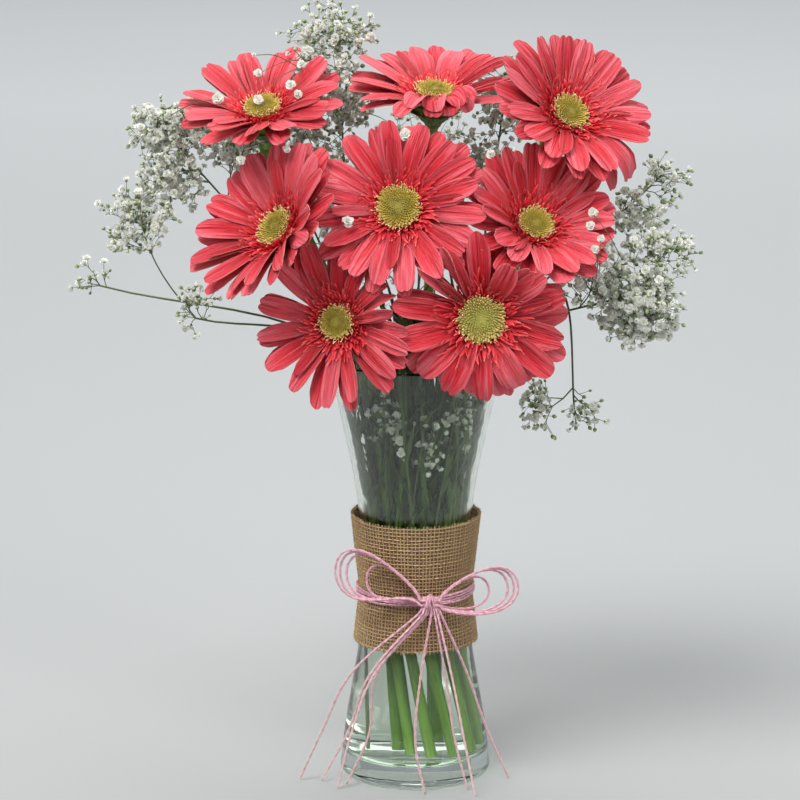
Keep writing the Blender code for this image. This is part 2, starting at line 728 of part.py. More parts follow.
def spray_twigs(number, spray, line, trees):
    """The side branches and twigs of one spray as (start, end) pairs, none touching its neighbours."""
    draw = random.Random(100 + number)
    _, reach, branches, _, _ = spray
    low = 0.55 if spray[0][2] > VASE_HEIGHT or number == HANGING else 0.35
    twigs = []
    for i in range(branches):
        at = (low + (0.97 - low) * i / (branches - 1)) * (len(line) - 1)
        joint = min(int(at), len(line) - 2)
        root = line[joint].lerp(line[joint + 1], at - joint)
        way = (line[joint + 1] - line[joint]).normalized()
        length = reach * draw.uniform(0.85, 1.05)
        tip = clear_twig(root, way, GOLDEN_ANGLE * i + number, 0.95, length, trees)
        if tip is None:
            continue
        twigs.append((root, tip))
        for k in range(TWIGS_A_BRANCH):
            start = root.lerp(tip, 0.72 - 0.24 * k)
            size = min(TWIG_LENGTH, reach * 0.8) * draw.uniform(0.85, 1.15)
            out = clear_twig(start, (tip - root).normalized(), math.pi * k + i, 0.85, size, trees)
            if out:
                twigs.append((start, out))
    return twigs


def make_spray(name, number, spray, line, trees, home):
    """One spray of baby's breath: main stem, side branches and florets fused in one piece."""
    stem = tube(name + "_main", line, [SPRAY_STEM] * len(line), "breath", home, 0)
    body = as_mesh_object(stem, home)
    pieces = []
    for start, end in spray_twigs(number, spray, line, trees):
        pieces.append(shell_of("twig", flower_twig(start, end), "breath", home))
    way = (line[-1] - line[-2]).normalized()
    last = flower_twig(line[-1] - way * 0.003, line[-1] + way * 0.006)
    pieces.append(shell_of("twig", last, "breath", home))
    return fused(name, body, pieces, "breath", home)


def make_gerberas(home, trees, holes):
    """The eight gerberas, all stems first so that the petals can be bent clear of them."""
    for number, head in enumerate(HEADS, start=1):
        stem = make_stem(number, head, home)
        trees[stem.name] = tree_of(stem)
        holes.append((stem.name, gerbera_stem_line(head)[0], STEM_RADIUS, 2))
    for number, head in enumerate(HEADS, start=1):
        own = f"gerbera_{number}_"
        others = [tree for name, tree in trees.items() if not name.startswith(own)]
        rays = make_rays(number, head, home, others)
        trees[rays.name] = tree_of(rays)
        disc = make_disc(number, head, home)
        trees[disc.name] = tree_of(disc)


def make_breath(home, trees, holes):
    """The baby's breath: all main stems are laid out first, then each spray's twigs round them."""
    lines = {}
    rows = [(f"breath_{i}", i, row) for i, row in enumerate(SPRAYS, start=1)]
    rows += [(f"breath_low_{i}", 20 + i, row) for i, row in enumerate(SPRIGS, start=1)]
    for name, number, spray in rows:
        line = clear_spray_line(number, spray, trees.values())
        bm = rod(line, SPRAY_STEM)
        trees[name] = BVHTree.FromBMesh(bm)
        bm.free()
        lines[name] = line
        holes.append((name, line, SPRAY_STEM, 0))
    for name, number, spray in rows:
        others = [tree for other, tree in trees.items() if other != name]
        made = make_spray(name, number, spray, lines[name], others, home)
        trees[name] = tree_of(made)


def main():
    """Builds the whole arrangement, piece by piece."""
    clear_scene()
    home = new_collection("flowers_in_a_vase")
    vase = make_vase(home)
    make_band(home)
    make_tie(home)
    make_knot(home)
    make_bow(home)
    trees = {"vase": tree_of(vase)}
    holes = []
    make_gerberas(home, trees, holes)
    make_breath(home, trees, holes)
    make_water(home, holes)


main()
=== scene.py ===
"""The looks of eight coral gerberas and baby's breath in a waisted glass vase with a hessian band.

Everything is in metres, in the CAD model's own frame: the vase stands on the XY plane with its axis
on Z, and its front faces -Y.
"""

import json
import logging
import math
import random
from dataclasses import dataclass, field, replace
from enum import Enum
from typing import Any, Sequence

import bpy
import numpy as np
from mathutils import Matrix, Vector, noise
from mathutils.bvhtree import BVHTree

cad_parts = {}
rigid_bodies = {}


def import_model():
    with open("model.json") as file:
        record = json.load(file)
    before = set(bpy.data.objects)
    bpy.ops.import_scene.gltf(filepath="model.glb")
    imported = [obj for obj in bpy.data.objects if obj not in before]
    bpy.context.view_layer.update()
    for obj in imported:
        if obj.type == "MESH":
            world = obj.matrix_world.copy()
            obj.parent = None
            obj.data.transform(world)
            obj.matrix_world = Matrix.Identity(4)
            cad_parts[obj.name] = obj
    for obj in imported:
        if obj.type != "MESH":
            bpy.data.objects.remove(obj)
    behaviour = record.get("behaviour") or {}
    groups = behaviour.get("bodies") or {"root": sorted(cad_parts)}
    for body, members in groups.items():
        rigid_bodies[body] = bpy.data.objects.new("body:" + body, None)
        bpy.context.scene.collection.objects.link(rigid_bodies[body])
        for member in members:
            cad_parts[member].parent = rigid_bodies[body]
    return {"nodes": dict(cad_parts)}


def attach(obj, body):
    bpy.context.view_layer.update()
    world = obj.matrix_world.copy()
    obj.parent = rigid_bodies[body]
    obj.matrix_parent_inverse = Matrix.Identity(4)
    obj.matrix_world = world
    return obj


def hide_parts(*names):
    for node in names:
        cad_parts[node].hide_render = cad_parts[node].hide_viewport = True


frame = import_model()

LOG = logging.getLogger("flowers")
Array = np.ndarray
Colour = tuple[float, float, float]
Faces = list[Array]
MARKS = ("along", "across", "tone", "side")

# Sizes that the CAD model has too
VASE_HEIGHT = 0.250
VASE_OUTLINE = [
    (0.0, 0.0412),
    (0.0045, 0.0443),
    (0.025, 0.0420),
    (0.060, 0.0363),
    (0.0814, 0.0329),
    (0.103, 0.0312),
    (0.128, 0.0312),
    (0.1565, 0.0331),
    (0.1815, 0.0365),
    (0.2043, 0.0413),
    (VASE_HEIGHT, 0.0510),
]
GLASS_WALL = 0.0026
GLASS_BASE = 0.0120
BASE_CORNER = 0.0060
GAP = 0.0003
WATER_LEVEL = 0.115
BAND_OUTLINE = [(0.0814, 0.0359), (0.108, 0.0333), (0.116, 0.0333), (0.1565, 0.0373)]
BAND_WAVES = 3
BAND_WAVE_HEIGHT = 0.0009
TWINE = 0.0014
TIE_HEIGHT = 0.112
KNOT = Vector((0.0083, -0.0402, 0.1135))
KNOT_SIZE = Vector((0.0090, 0.0074, 0.0100))
STEM_RADIUS = 0.0030
CUP_DEPTH = 0.019
STEM_WAIST_RADIUS = 0.0145
STEM_FOOT_RADIUS = 0.0185
STEM_FOOT_SHIFT = Vector((0.0110, 0.0, 0.0))
STEM_FOOT_HEIGHT = GLASS_BASE + 0.0016
STEM_MOUTH_RADIUS = 0.0340
STEM_TWIST = 35.0
NECK = 0.030
NECK_SAG = 0.004
HEART_HALF = 0.0028
SPRAY_STEM = 0.0011
SPRAY_WAIST_RADIUS = 0.0252
SPRAY_MOUTH_RADIUS = 0.0440
HANGING_CREST = Vector((0.084, -0.002, 0.288))
GOLDEN_ANGLE = math.radians(137.5)


def between(table: Sequence[tuple[float, float]], at: float) -> float:
    """The value of a table of (place, value) rows at one place, along straight lines."""
    places, values = zip(*table)
    return float(np.interp(at, places, values))


def bearing(degrees: float, radius: float, height: float = 0.0) -> Vector:
    """A point at a bearing round the vase's axis, counted from +X towards +Y."""
    turn = math.radians(degrees)
    return Vector((radius * math.cos(turn), radius * math.sin(turn), height))


def ease(low: float, high: float, value: Any) -> Any:
    """A smooth step from 0 at low to 1 at high."""
    share = np.clip((value - low) / (high - low), 0.0, 1.0)
    return share * share * (3 - 2 * share)


def smooth_line(
    knots: Sequence[Vector],
    count: int,
    start_way: Vector | None = None,
    end_way: Vector | None = None,
) -> list[Vector]:
    """Points along a smooth curve through the knots.

    Args:
        knots: The points that the curve passes.
        count: How many points each stretch gets.
        start_way: The way it sets out, if that is given.
        end_way: The way it arrives, if that is given.

    Returns:
        The points, from the first knot to the last.
    """
    ways = []
    for i, _ in enumerate(knots):
        before = knots[max(i - 1, 0)]
        after = knots[min(i + 1, len(knots) - 1)]
        ways.append((after - before) * (0.5 if 0 < i < len(knots) - 1 else 1.0))
    if start_way:
        ways[0] = start_way.normalized() * (knots[1] - knots[0]).length
    if end_way:
        ways[-1] = end_way.normalized() * (knots[-1] - knots[-2]).length
    line = [knots[0].copy()]
    for i in range(len(knots) - 1):
        for step in range(1, count + 1):
            t = step / count
            line.append(
                knots[i] * (2 * t**3 - 3 * t**2 + 1)
                + ways[i] * (t**3 - 2 * t**2 + t)
                + knots[i + 1] * (3 * t**2 - 2 * t**3)
                + ways[i + 1] * (t**3 - t**2)
            )
    return line


def length_of(line: Sequence[Vector]) -> float:
    """The length of a line of points."""
    return sum((b - a).length for a, b in zip(line, line[1:]))


def evenly(line: Sequence[Vector], step: float) -> Array:
    """The line again, with its points about one step apart.

    Args:
        line: The points of the line.
        step: The distance to aim for.

    Returns:
        An array of points, with both ends kept.
    """
    points = np.array([tuple(p) for p in line])
    runs = np.concatenate([[0.0], np.cumsum(np.linalg.norm(np.diff(points, axis=0), axis=1))])
    count = max(2, int(round(runs[-1] / step)) + 1)
    at = np.linspace(0.0, runs[-1], count)
    return np.stack([np.interp(at, runs, points[:, k]) for k in range(3)], axis=1)


def unit(ways: Array) -> Array:
    """Ways with a length of one."""
    return ways / np.maximum(np.linalg.norm(ways, axis=-1, keepdims=True), 1e-12)


def across_line(line: Array, up: Array | None = None) -> tuple[Array, Array, Array]:
    """The way along a line and two ways across it at each point, which turn as little as they can.

    Args:
        line: The points of the line.
        up: The way that the first of the two should lean to, all along, if that is given.

    Returns:
        The way along, the way up and the way to the side, one of each for a point.
    """
    way = unit(np.gradient(line, axis=0))
    if up is not None:
        rise = np.asarray(up, float) - way * (way @ np.asarray(up, float))[:, None]
        rise = unit(rise)
    else:
        start = np.eye(3)[np.argmin(np.abs(way[0]))]
        rise = np.empty_like(line)
        for i, along in enumerate(way):
            start = start - along * (start @ along)
            start /= max(float(np.linalg.norm(start)), 1e-12)
            rise[i] = start
    return way, rise, np.cross(way, rise)


def sweep(
    line: Array,
    wide: Array | float,
    thick: Array | float | None = None,
    sides: int = 6,
    up: Array | None = None,
    turn: Array | float = 0.0,
    waist: float = 0.0,
) -> tuple[Array, Faces, Array]:
    """A closed tube along a line.

    Args:
        line: The points of its centreline.
        wide: Half its width at each point.
        thick: Half its thickness at each point, or None for a round one.
        sides: How many sides the tube has.
        up: The way that its flat side faces, or None for any.
        turn: How far its section has turned at each point, in radians.
        waist: How much it pulls in between two rounded lobes, from 0 to 1.

    Returns:
        Its points, its faces, and the distance along the line of each point.
    """
    count = len(line)
    _, rise, side = across_line(line, up)
    wide = np.broadcast_to(np.asarray(wide, float), count)
    thick = wide if thick is None else np.broadcast_to(np.asarray(thick, float), count)
    angle = 2 * np.pi * np.arange(sides) / sides
    lobe = 1 - waist * np.sin(angle) ** 2
    across = lobe * np.cos(angle) * wide[:, None]
    above = lobe * np.sin(angle) * thick[:, None]
    turn = np.broadcast_to(np.asarray(turn, float), count)[:, None]
    flat = across * np.cos(turn) - above * np.sin(turn)
    high = across * np.sin(turn) + above * np.cos(turn)
    rings = line[:, None] - side[:, None] * flat[..., None] + rise[:, None] * high[..., None]
    runs = np.concatenate([[0.0], np.cumsum(np.linalg.norm(np.diff(line, axis=0), axis=1))])
    points = np.concatenate([rings.reshape(-1, 3), line[:1], line[-1:]])
    along = np.concatenate([np.repeat(runs, sides), runs[:1], runs[-1:]])
    ring = np.arange(sides)
    following = (ring + 1) % sides
    base = (np.arange(count - 1) * sides)[:, None]
    walls = np.stack(
        [base + ring, base + following, base + sides + following, base + sides + ring], axis=-1
    ).reshape(-1, 4)
    last = (count - 1) * sides
    foot, top = count * sides, count * sides + 1
    low_cap = np.stack([following, ring, np.full(sides, foot)], axis=-1)
    high_cap = np.stack([last + ring, last + following, np.full(sides, top)], axis=-1)
    return points, [walls, low_cap, high_cap], along


def thin_solid(grid: Array, thick: Array | float) -> tuple[Array, Faces]:
    """A closed thin solid round a grid of points, such as a petal or a leaf.

    Args:
        grid: The points of its middle surface, by row and column.
        thick: Its thickness, the same all over or one value for each point.

    Returns:
        Its points, first those on top and then those below, and its faces.
    """
    rows, columns = grid.shape[:2]
    normal = unit(np.cross(np.gradient(grid, axis=0), np.gradient(grid, axis=1)))
    half = np.broadcast_to(np.asarray(thick, float), (rows, columns))[..., None] / 2
    points = np.concatenate([(grid + normal * half).reshape(-1, 3), (grid - normal * half).reshape(-1, 3)])
    number = np.arange(rows * columns).reshape(rows, columns)
    a, b, c, d = number[:-1, :-1], number[1:, :-1], number[1:, 1:], number[:-1, 1:]
    top = np.stack([a, b, c, d], axis=-1).reshape(-1, 4)
    below = top[:, ::-1] + rows * columns
    rim = np.concatenate([number[:, 0], number[-1, 1:], number[-2::-1, -1], number[0, -2:0:-1]])
    after = np.roll(rim, -1)
    border = np.stack([rim, rim + rows * columns, after + rows * columns, after], axis=-1)
    return points, [top, below, border]


@dataclass
class Pile:
    """Shapes gathered into one mesh, with the values that its materials read at each point.

    Attributes:
        points: Places of the corners, one array for each shape.
        faces: Corner numbers, one array for each kind of face of each shape.
        slots: Material number of each face, one array for each array of faces.
        marks: The values at the points, by name.
        count: How many points there are so far.
    """

    points: list[Array] = field(default_factory=list)
    faces: list[Array] = field(default_factory=list)
    slots: list[Array] = field(default_factory=list)
    marks: dict[str, list[Array]] = field(default_factory=lambda: {name: [] for name in MARKS})
    count: int = 0

    def add(self, points: Array, faces: Faces, slot: int = 0, **marks: Array | float) -> None:
        """Adds one shape.

        Args:
            points: Its corners.
            faces: Its faces, as arrays of corner numbers.
            slot: The number of its material.
            **marks: Its values, each one number or one for each point.
        """
        for some in faces:
            self.faces.append(np.asarray(some, np.int64) + self.count)
            self.slots.append(np.full(len(some), slot))
        self.points.append(np.asarray(points, float))
        for name in MARKS:
            value = np.asarray(marks.get(name, 0.0), float)
            self.marks[name].append(np.broadcast_to(value, len(points)).copy())
        self.count += len(points)

    def add_tube(self, line: Array, wide: Array | float, slot: int = 0, tone: float = 0.0, **ways: Any) -> None:
        """Adds a closed tube; along is the distance in metres and across goes round it."""
        points, faces, along = sweep(line, wide, **ways)
        sides = ways.get("sides", 6)
        around = np.append(np.tile(np.arange(sides) / sides, len(line)), [0.0, 0.0])
        self.add(points, faces, slot, along=along, across=around, tone=tone)

    def build(self, name: str, materials: Sequence[bpy.types.Material], sharp: float = 50.0) -> bpy.types.Object:
        """The finished object.

        Args:
            name: Its name.
            materials: Its materials, in the order of their numbers.
            sharp: The angle in degrees from which an edge looks sharp.

        Returns:
            The object, linked to the scene.
        """
        points = np.concatenate(self.points)
        sizes = np.concatenate([np.full(len(some), some.shape[1]) for some in self.faces])
        corners = np.concatenate([some.ravel() for some in self.faces])
        mesh = bpy.data.meshes.new(name)
        mesh.vertices.add(len(points))
        mesh.vertices.foreach_set("co", points.astype(np.float32).ravel())
        mesh.loops.add(len(corners))
        mesh.loops.foreach_set("vertex_index", corners.astype(np.int32))
        mesh.polygons.add(len(sizes))
        starts = np.concatenate([[0], np.cumsum(sizes)[:-1]])
        mesh.polygons.foreach_set("loop_start", starts.astype(np.int32))
        mesh.polygons.foreach_set("material_index", np.concatenate(self.slots).astype(np.int32))
        mesh.update(calc_edges=True)
        mesh.validate()
        for mark, values in self.marks.items():
            made = mesh.attributes.new(mark, "FLOAT", "POINT")
            made.data.foreach_set("value", np.concatenate(values).astype(np.float32))
        for finish in materials:
            mesh.materials.append(finish)
        mesh.shade_smooth()
        mesh.set_sharp_from_angle(angle=math.radians(sharp))
        made_object = bpy.data.objects.new(name, mesh)
        bpy.context.scene.collection.objects.link(made_object)
        return made_object


def dress(
    obj: bpy.types.Object,
    replaced: Sequence[str] = (),
) -> bpy.types.Object:
    """Hands a finished piece to the frame: it rides on the one body and stands for CAD nodes.

    Args:
        obj: The piece, in place.
        replaced: The CAD nodes that it stands for.

    Returns:
        The piece.
    """
    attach(obj, "root")
    if replaced:
        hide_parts(*replaced)
    faces = sum(len(p.vertices) - 2 for p in obj.data.polygons)
    LOG.info("%s: %d triangles", obj.name, faces)
    return obj


@dataclass
class Graph:
    """Adds nodes to one tree and links them.

    Attributes:
        tree: The node tree.
    """

    tree: bpy.types.NodeTree

    def add(self, kind: str, inputs: dict[Any, Any] | None = None, **settings: Any) -> bpy.types.Node:
        """Adds a node.

        Args:
            kind: Its type, without the leading ShaderNode.
            inputs: Values or sockets for its inputs, by name or number.
            **settings: The node's own settings.

        Returns:
            The node.
        """
        made = self.tree.nodes.new("ShaderNode" + kind)
        for key, value in settings.items():
            setattr(made, key, value)
        for key, value in (inputs or {}).items():
            self.feed(made.inputs[key], value)
        return made

    def feed(self, socket: bpy.types.NodeSocket, value: Any) -> None:
        """Links a socket into an input, or sets the input's own value."""
        if isinstance(value, bpy.types.NodeSocket):
            self.tree.links.new(value, socket)
        elif isinstance(value, tuple) and socket.type == "RGBA":
            socket.default_value = (*value, 1.0)
        else:
            socket.default_value = value

    def mark(self, name: str) -> bpy.types.NodeSocket:
        """The value that the mesh holds under a name."""
        return self.add("Attribute", attribute_name=name).outputs["Fac"]

    def math(self, operation: str, first: Any, second: Any = 0.0) -> bpy.types.NodeSocket:
        """The result of one sum on two values."""
        return self.add("Math", {0: first, 1: second}, operation=operation).outputs[0]

    def mix(self, share: Any, first: Any, second: Any, blend: str = "MIX") -> bpy.types.NodeSocket:
        """Two colours mixed by a share."""
        node = self.add("Mix", {0: share, 6: first, 7: second}, data_type="RGBA", blend_type=blend)
        return node.outputs[2]

    def span(self, value: Any, low: float, high: float, to_low: Any, to_high: Any) -> bpy.types.NodeSocket:
        """A value taken from one range to another, and held inside it."""
        inputs = {"Value": value, "From Min": low, "From Max": high, "To Min": to_low, "To Max": to_high}
        return self.add("MapRange", inputs).outputs[0]

    def ramp(self, value: Any, stops: Sequence[tuple[float, Colour]]) -> bpy.types.NodeSocket:
        """A colour that follows a value through a row of stops."""
        node = self.add("ValToRGB", {0: value})
        cells = node.color_ramp.elements
        while len(cells) < len(stops):
            cells.new(0.5)
        for cell, (place, colour) in zip(cells, stops):
            cell.position = place
            cell.color = (*colour, 1.0)
        return node.outputs[0]

    def bump(self, height: Any, distance: float, strength: float = 1.0) -> bpy.types.NodeSocket:
        """A normal that stands up by a height map."""
        inputs = {"Height": height, "Distance": distance, "Strength": strength}
        return self.add("Bump", inputs).outputs[0]

    def group(self, tree: bpy.types.NodeTree, **inputs: Any) -> bpy.types.Node:
        """Places a node group; an input's name has _ for its spaces."""
        node = self.tree.nodes.new("ShaderNodeGroup")
        node.node_tree = tree
        for name, value in inputs.items():
            self.feed(node.inputs[name.replace("_", " ")], value)
        return node


def group_tree(
    name: str,
    inputs: Sequence[tuple[str, float]],
    outputs: Sequence[str],
) -> tuple[Graph, bpy.types.Node, bpy.types.Node]:
    """A new node group with named values in and out.

    Args:
        name: The group's name.
        inputs: Name and usual value of each input.
        outputs: Name of each output.

    Returns:
        The group's graph, its entry and its exit.
    """
    tree = bpy.data.node_groups.new(name, "ShaderNodeTree")
    for label, usual in inputs:
        tree.interface.new_socket(label, in_out="INPUT", socket_type="NodeSocketFloat").default_value = usual
    for label in outputs:
        tree.interface.new_socket(label, in_out="OUTPUT", socket_type="NodeSocketFloat")
    return Graph(tree), tree.nodes.new("NodeGroupInput"), tree.nodes.new("NodeGroupOutput")


class Effect(Enum):
    """The effects that several materials share, each one node group."""

    STREAKS = "lengthwise streaks"
    MOTTLE = "uneven tone"
    FIBRES = "spun fibres"

    def tree(self) -> bpy.types.NodeTree:
        """The effect's node group, built once."""
        if self.value in bpy.data.node_groups:
            return bpy.data.node_groups[self.value]
        makers = {Effect.STREAKS: streaks_tree, Effect.MOTTLE: mottle_tree, Effect.FIBRES: fibres_tree}
        return makers[self]()


def streaks_tree() -> bpy.types.NodeTree:
    """Fine lines that run the length of a petal, a leaf or a stem."""
    inputs = [("Along", 0.0), ("Across", 0.0), ("Tone", 0.0), ("Lines", 6.0), ("Stretch", 2.0)]
    graph, entry, leave = group_tree(Effect.STREAKS.value, inputs, ("Mask", "Fine"))
    shift = graph.math("MULTIPLY", entry.outputs["Tone"], 37.0)
    side = graph.math("MULTIPLY", entry.outputs["Across"], entry.outputs["Lines"])
    run = graph.math("MULTIPLY", entry.outputs["Along"], entry.outputs["Stretch"])
    place = graph.add("CombineXYZ", {0: graph.math("ADD", side, shift), 1: run, 2: shift}).outputs[0]
    broad = graph.add("TexNoise", {"Vector": place, "Scale": 1.0, "Detail": 2.0, "Roughness": 0.5})
    fine = graph.add("TexNoise", {"Vector": place, "Scale": 3.1, "Detail": 3.0, "Roughness": 0.6})
    graph.feed(leave.inputs["Mask"], graph.span(broad.outputs[0], 0.34, 0.66, 0.0, 1.0))
    graph.feed(leave.inputs["Fine"], graph.span(fine.outputs[0], 0.3, 0.7, 0.0, 1.0))
    return graph.tree


def mottle_tree() -> bpy.types.NodeTree:
    """A cloudy change of tone over the surface."""
    graph, entry, leave = group_tree(Effect.MOTTLE.value, [("Scale", 60.0), ("Low", 0.0), ("High", 1.0)], ("Value",))
    place = graph.add("TexCoord").outputs["Object"]
    cloud = graph.add("TexNoise", {"Vector": place, "Scale": entry.outputs["Scale"], "Detail": 4.0})
    value = graph.span(cloud.outputs[0], 0.3, 0.7, entry.outputs["Low"], entry.outputs["High"])
    graph.feed(leave.inputs["Value"], value)
    return graph.tree


def fibres_tree() -> bpy.types.NodeTree:
    """Fibres that wind along a thread, with along in metres and around from 0 to 1."""
    inputs = [("Along", 0.0), ("Around", 0.0), ("Tone", 0.0), ("Strands", 3.0), ("Turns", 200.0)]
    graph, entry, leave = group_tree(Effect.FIBRES.value, inputs, ("Mask", "Height"))
    wind = graph.math("MULTIPLY", entry.outputs["Along"], entry.outputs["Turns"])
    round_it = graph.math("MULTIPLY", entry.outputs["Around"], entry.outputs["Strands"])
    phase = graph.math("MULTIPLY", graph.math("ADD", wind, round_it), 2 * math.pi)
    ridge = graph.math("MULTIPLY_ADD", graph.math("SINE", phase), 0.5)
    ridge.node.inputs[2].default_value = 0.5
    run = graph.math("MULTIPLY", entry.outputs["Along"], 700.0)
    shift = graph.math("MULTIPLY", entry.outputs["Tone"], 53.0)
    place = graph.add("CombineXYZ", {0: graph.math("ADD", run, shift), 1: graph.math("MULTIPLY", round_it, 2.0), 2: shift})
    cloud = graph.add("TexNoise", {"Vector": place.outputs[0], "Scale": 1.0, "Detail": 3.0}).outputs[0]
    mask = graph.span(cloud, 0.3, 0.7, 0.0, 1.0)
    graph.feed(leave.inputs["Mask"], mask)
    graph.feed(leave.inputs["Height"], graph.math("MULTIPLY", ridge, graph.span(cloud, 0.2, 0.8, 0.6, 1.0)))
    return graph.tree


def new_material(name: str) -> tuple[bpy.types.Material, Graph, bpy.types.Node]:
    """An empty material with its graph and its Principled shader, linked to the output."""
    made = bpy.data.materials.new(name)
    made.use_nodes = True
    shader = made.node_tree.nodes["Principled BSDF"]
    return made, Graph(made.node_tree), shader


@dataclass(frozen=True)
class PetalFinish:
    """Soft, faintly shining petals, deep at the root and pale at the tip.

    Attributes:
        name: The material's name.
        stops: Colours from the root to the tip.
        under: Colour of the underside.
        deep: Colour of the grooves and fine hollows, painted shade.
        pale: Colour of the light streaks, painted sheen on the ridges, and of the paler edges.
        lines: How many streaks cross half a petal.
        glow: How much light passes into the petal.
    """

    name: str = "coral_petal"
    stops: tuple[tuple[float, Colour], ...] = (
        (0.0, (0.34, 0.001, 0.003)),
        (0.25, (0.50, 0.003, 0.008)),
        (0.50, (0.68, 0.010, 0.022)),
        (0.78, (0.84, 0.040, 0.062)),
        (1.0, (0.92, 0.120, 0.150)),
    )
    under: Colour = (0.84, 0.300, 0.240)
    deep: Colour = (0.40, 0.003, 0.010)
    pale: Colour = (0.95, 0.26, 0.30)
    lines: float = 3.2
    glow: float = 0.08

    def material(self) -> bpy.types.Material:
        """Builds the material."""
        made, graph, shader = new_material(self.name)
        along, across, tone, side = (graph.mark(name) for name in MARKS)
        lines = graph.group(Effect.STREAKS.tree(), Along=along, Across=across, Tone=tone, Lines=self.lines, Stretch=0.8)
        cloud = graph.group(Effect.MOTTLE.tree(), Scale=80.0, Low=0.0, High=1.0).outputs[0]
        colour = graph.ramp(along, self.stops)
        # Painted shade: the grooves, where the streaks' relief is low, are darkened.
        groove_shade = graph.span(lines.outputs["Mask"], 0.02, 0.34, 0.78, 0.0)
        colour = graph.mix(groove_shade, colour, self.deep)
        # Painted sheen: the ridges and fine streaks, where the relief is high, are lightened towards the tip.
        outer = graph.span(along, 0.15, 0.75, 0.1, 1.0)
        crest = graph.math("MULTIPLY", graph.span(lines.outputs["Mask"], 0.62, 0.95, 0.0, 0.62), outer)
        colour = graph.mix(crest, colour, self.pale)
        thin = graph.math("MULTIPLY", graph.span(lines.outputs["Fine"], 0.60, 0.95, 0.0, 0.42), outer)
        colour = graph.mix(thin, colour, self.pale)
        # Painted shade: the fine hollows of the relief are darkened.
        dark = graph.span(lines.outputs["Fine"], 0.0, 0.30, 0.50, 0.0)
        colour = graph.mix(dark, colour, self.deep)
        colour = graph.mix(graph.math("MULTIPLY", cloud, 0.18), colour, (0.80, 0.035, 0.075))
        colour = graph.mix(graph.span(tone, 0.0, 0.5, 0.42, 0.0), colour, (0.52, 0.006, 0.018))
        colour = graph.mix(graph.span(tone, 0.6, 1.0, 0.0, 0.34), colour, (0.95, 0.20, 0.25))
        edge = graph.math("POWER", graph.math("ABSOLUTE", across), 6.0)
        colour = graph.mix(graph.math("MULTIPLY", edge, 0.35), colour, self.pale)
        below = graph.mix(graph.math("MULTIPLY", lines.outputs["Mask"], 0.6), self.under, (0.78, 0.12, 0.12))
        colour = graph.mix(side, colour, below)
        graph.feed(shader.inputs["Base Color"], colour)
        rough = graph.span(lines.outputs["Fine"], 0.0, 1.0, 0.40, 0.56)
        graph.feed(shader.inputs["Roughness"], rough)
        height = graph.math("ADD", lines.outputs["Mask"], graph.math("MULTIPLY", lines.outputs["Fine"], 0.5))
        graph.feed(shader.inputs["Normal"], graph.bump(height, 0.0011, 1.0))
        shader.inputs["Specular IOR Level"].default_value = 0.38
        shader.inputs["Sheen Weight"].default_value = 0.06
        shader.inputs["Sheen Roughness"].default_value = 0.4
        shader.inputs["Subsurface Weight"].default_value = self.glow
        shader.inputs["Subsurface Radius"].default_value = (1.0, 0.25, 0.2)
        shader.inputs["Subsurface Scale"].default_value = 0.0012
        return made


@dataclass(frozen=True)
class SpeckFinish:
    """Small matt florets whose colour runs from one end to the other.

    Attributes:
        name: The material's name.
        stops: Colours along the floret.
        other: Colour that some of them lean to.
        rough: Roughness.
        glow: How much light passes through them.
    """

    name: str
    stops: tuple[tuple[float, Colour], ...]
    other: Colour
    rough: float = 0.6
    glow: float = 0.0

    def material(self) -> bpy.types.Material:
        """Builds the material."""
        made, graph, shader = new_material(self.name)
        tone = graph.mark("tone")
        cloud = graph.group(Effect.MOTTLE.tree(), Scale=420.0, Low=0.0, High=1.0).outputs[0]
        colour = graph.ramp(graph.mark("along"), self.stops)
        colour = graph.mix(graph.math("MULTIPLY", tone, 0.55), colour, self.other)
        shade = graph.mix(graph.math("MULTIPLY", cloud, 0.22), colour, tuple(c * 0.55 for c in self.other))
        graph.feed(shader.inputs["Base Color"], shade)
        graph.feed(shader.inputs["Roughness"], graph.span(cloud, 0.0, 1.0, self.rough - 0.08, self.rough + 0.08))
        graph.feed(shader.inputs["Normal"], graph.bump(cloud, 0.0002, 0.5))
        shader.inputs["Specular IOR Level"].default_value = 0.3
        if self.glow:
            shader.inputs["Subsurface Weight"].default_value = self.glow
            shader.inputs["Subsurface Radius"].default_value = (1.0, 1.0, 0.9)
            shader.inputs["Subsurface Scale"].default_value = 0.0016
        return made


@dataclass(frozen=True)
class GreenFinish:
    """Stems, bracts and leaves, streaked along their length.

    Attributes:
        name: The material's name.
        dark: Colour of the darker streaks.
        light: Colour of the lighter ones.
        tint: Colour that some pieces lean to.
        lines: How many streaks there are across.
        stretch: How quickly the streaks change along.
        rough: Roughness.
    """

    name: str
    dark: Colour
    light: Colour
    tint: Colour
    lines: float = 5.0
    stretch: float = 30.0
    rough: float = 0.5

    def material(self) -> bpy.types.Material:
        """Builds the material."""
        made, graph, shader = new_material(self.name)
        along, across, tone = graph.mark("along"), graph.mark("across"), graph.mark("tone")
        lines = graph.group(
            Effect.STREAKS.tree(), Along=along, Across=across, Tone=tone, Lines=self.lines, Stretch=self.stretch
        )
        cloud = graph.group(Effect.MOTTLE.tree(), Scale=70.0, Low=0.0, High=1.0).outputs[0]
        colour = graph.mix(lines.outputs["Mask"], self.dark, self.light)
        colour = graph.mix(graph.math("MULTIPLY", cloud, 0.45), colour, self.tint)
        colour = graph.mix(graph.math("MULTIPLY", tone, 0.35), colour, self.light)
        graph.feed(shader.inputs["Base Color"], colour)
        graph.feed(shader.inputs["Roughness"], graph.span(lines.outputs["Fine"], 0.0, 1.0, self.rough - 0.1, self.rough + 0.1))
        graph.feed(shader.inputs["Normal"], graph.bump(lines.outputs["Fine"], 0.0002, 0.6))
        shader.inputs["Specular IOR Level"].default_value = 0.4
        return made


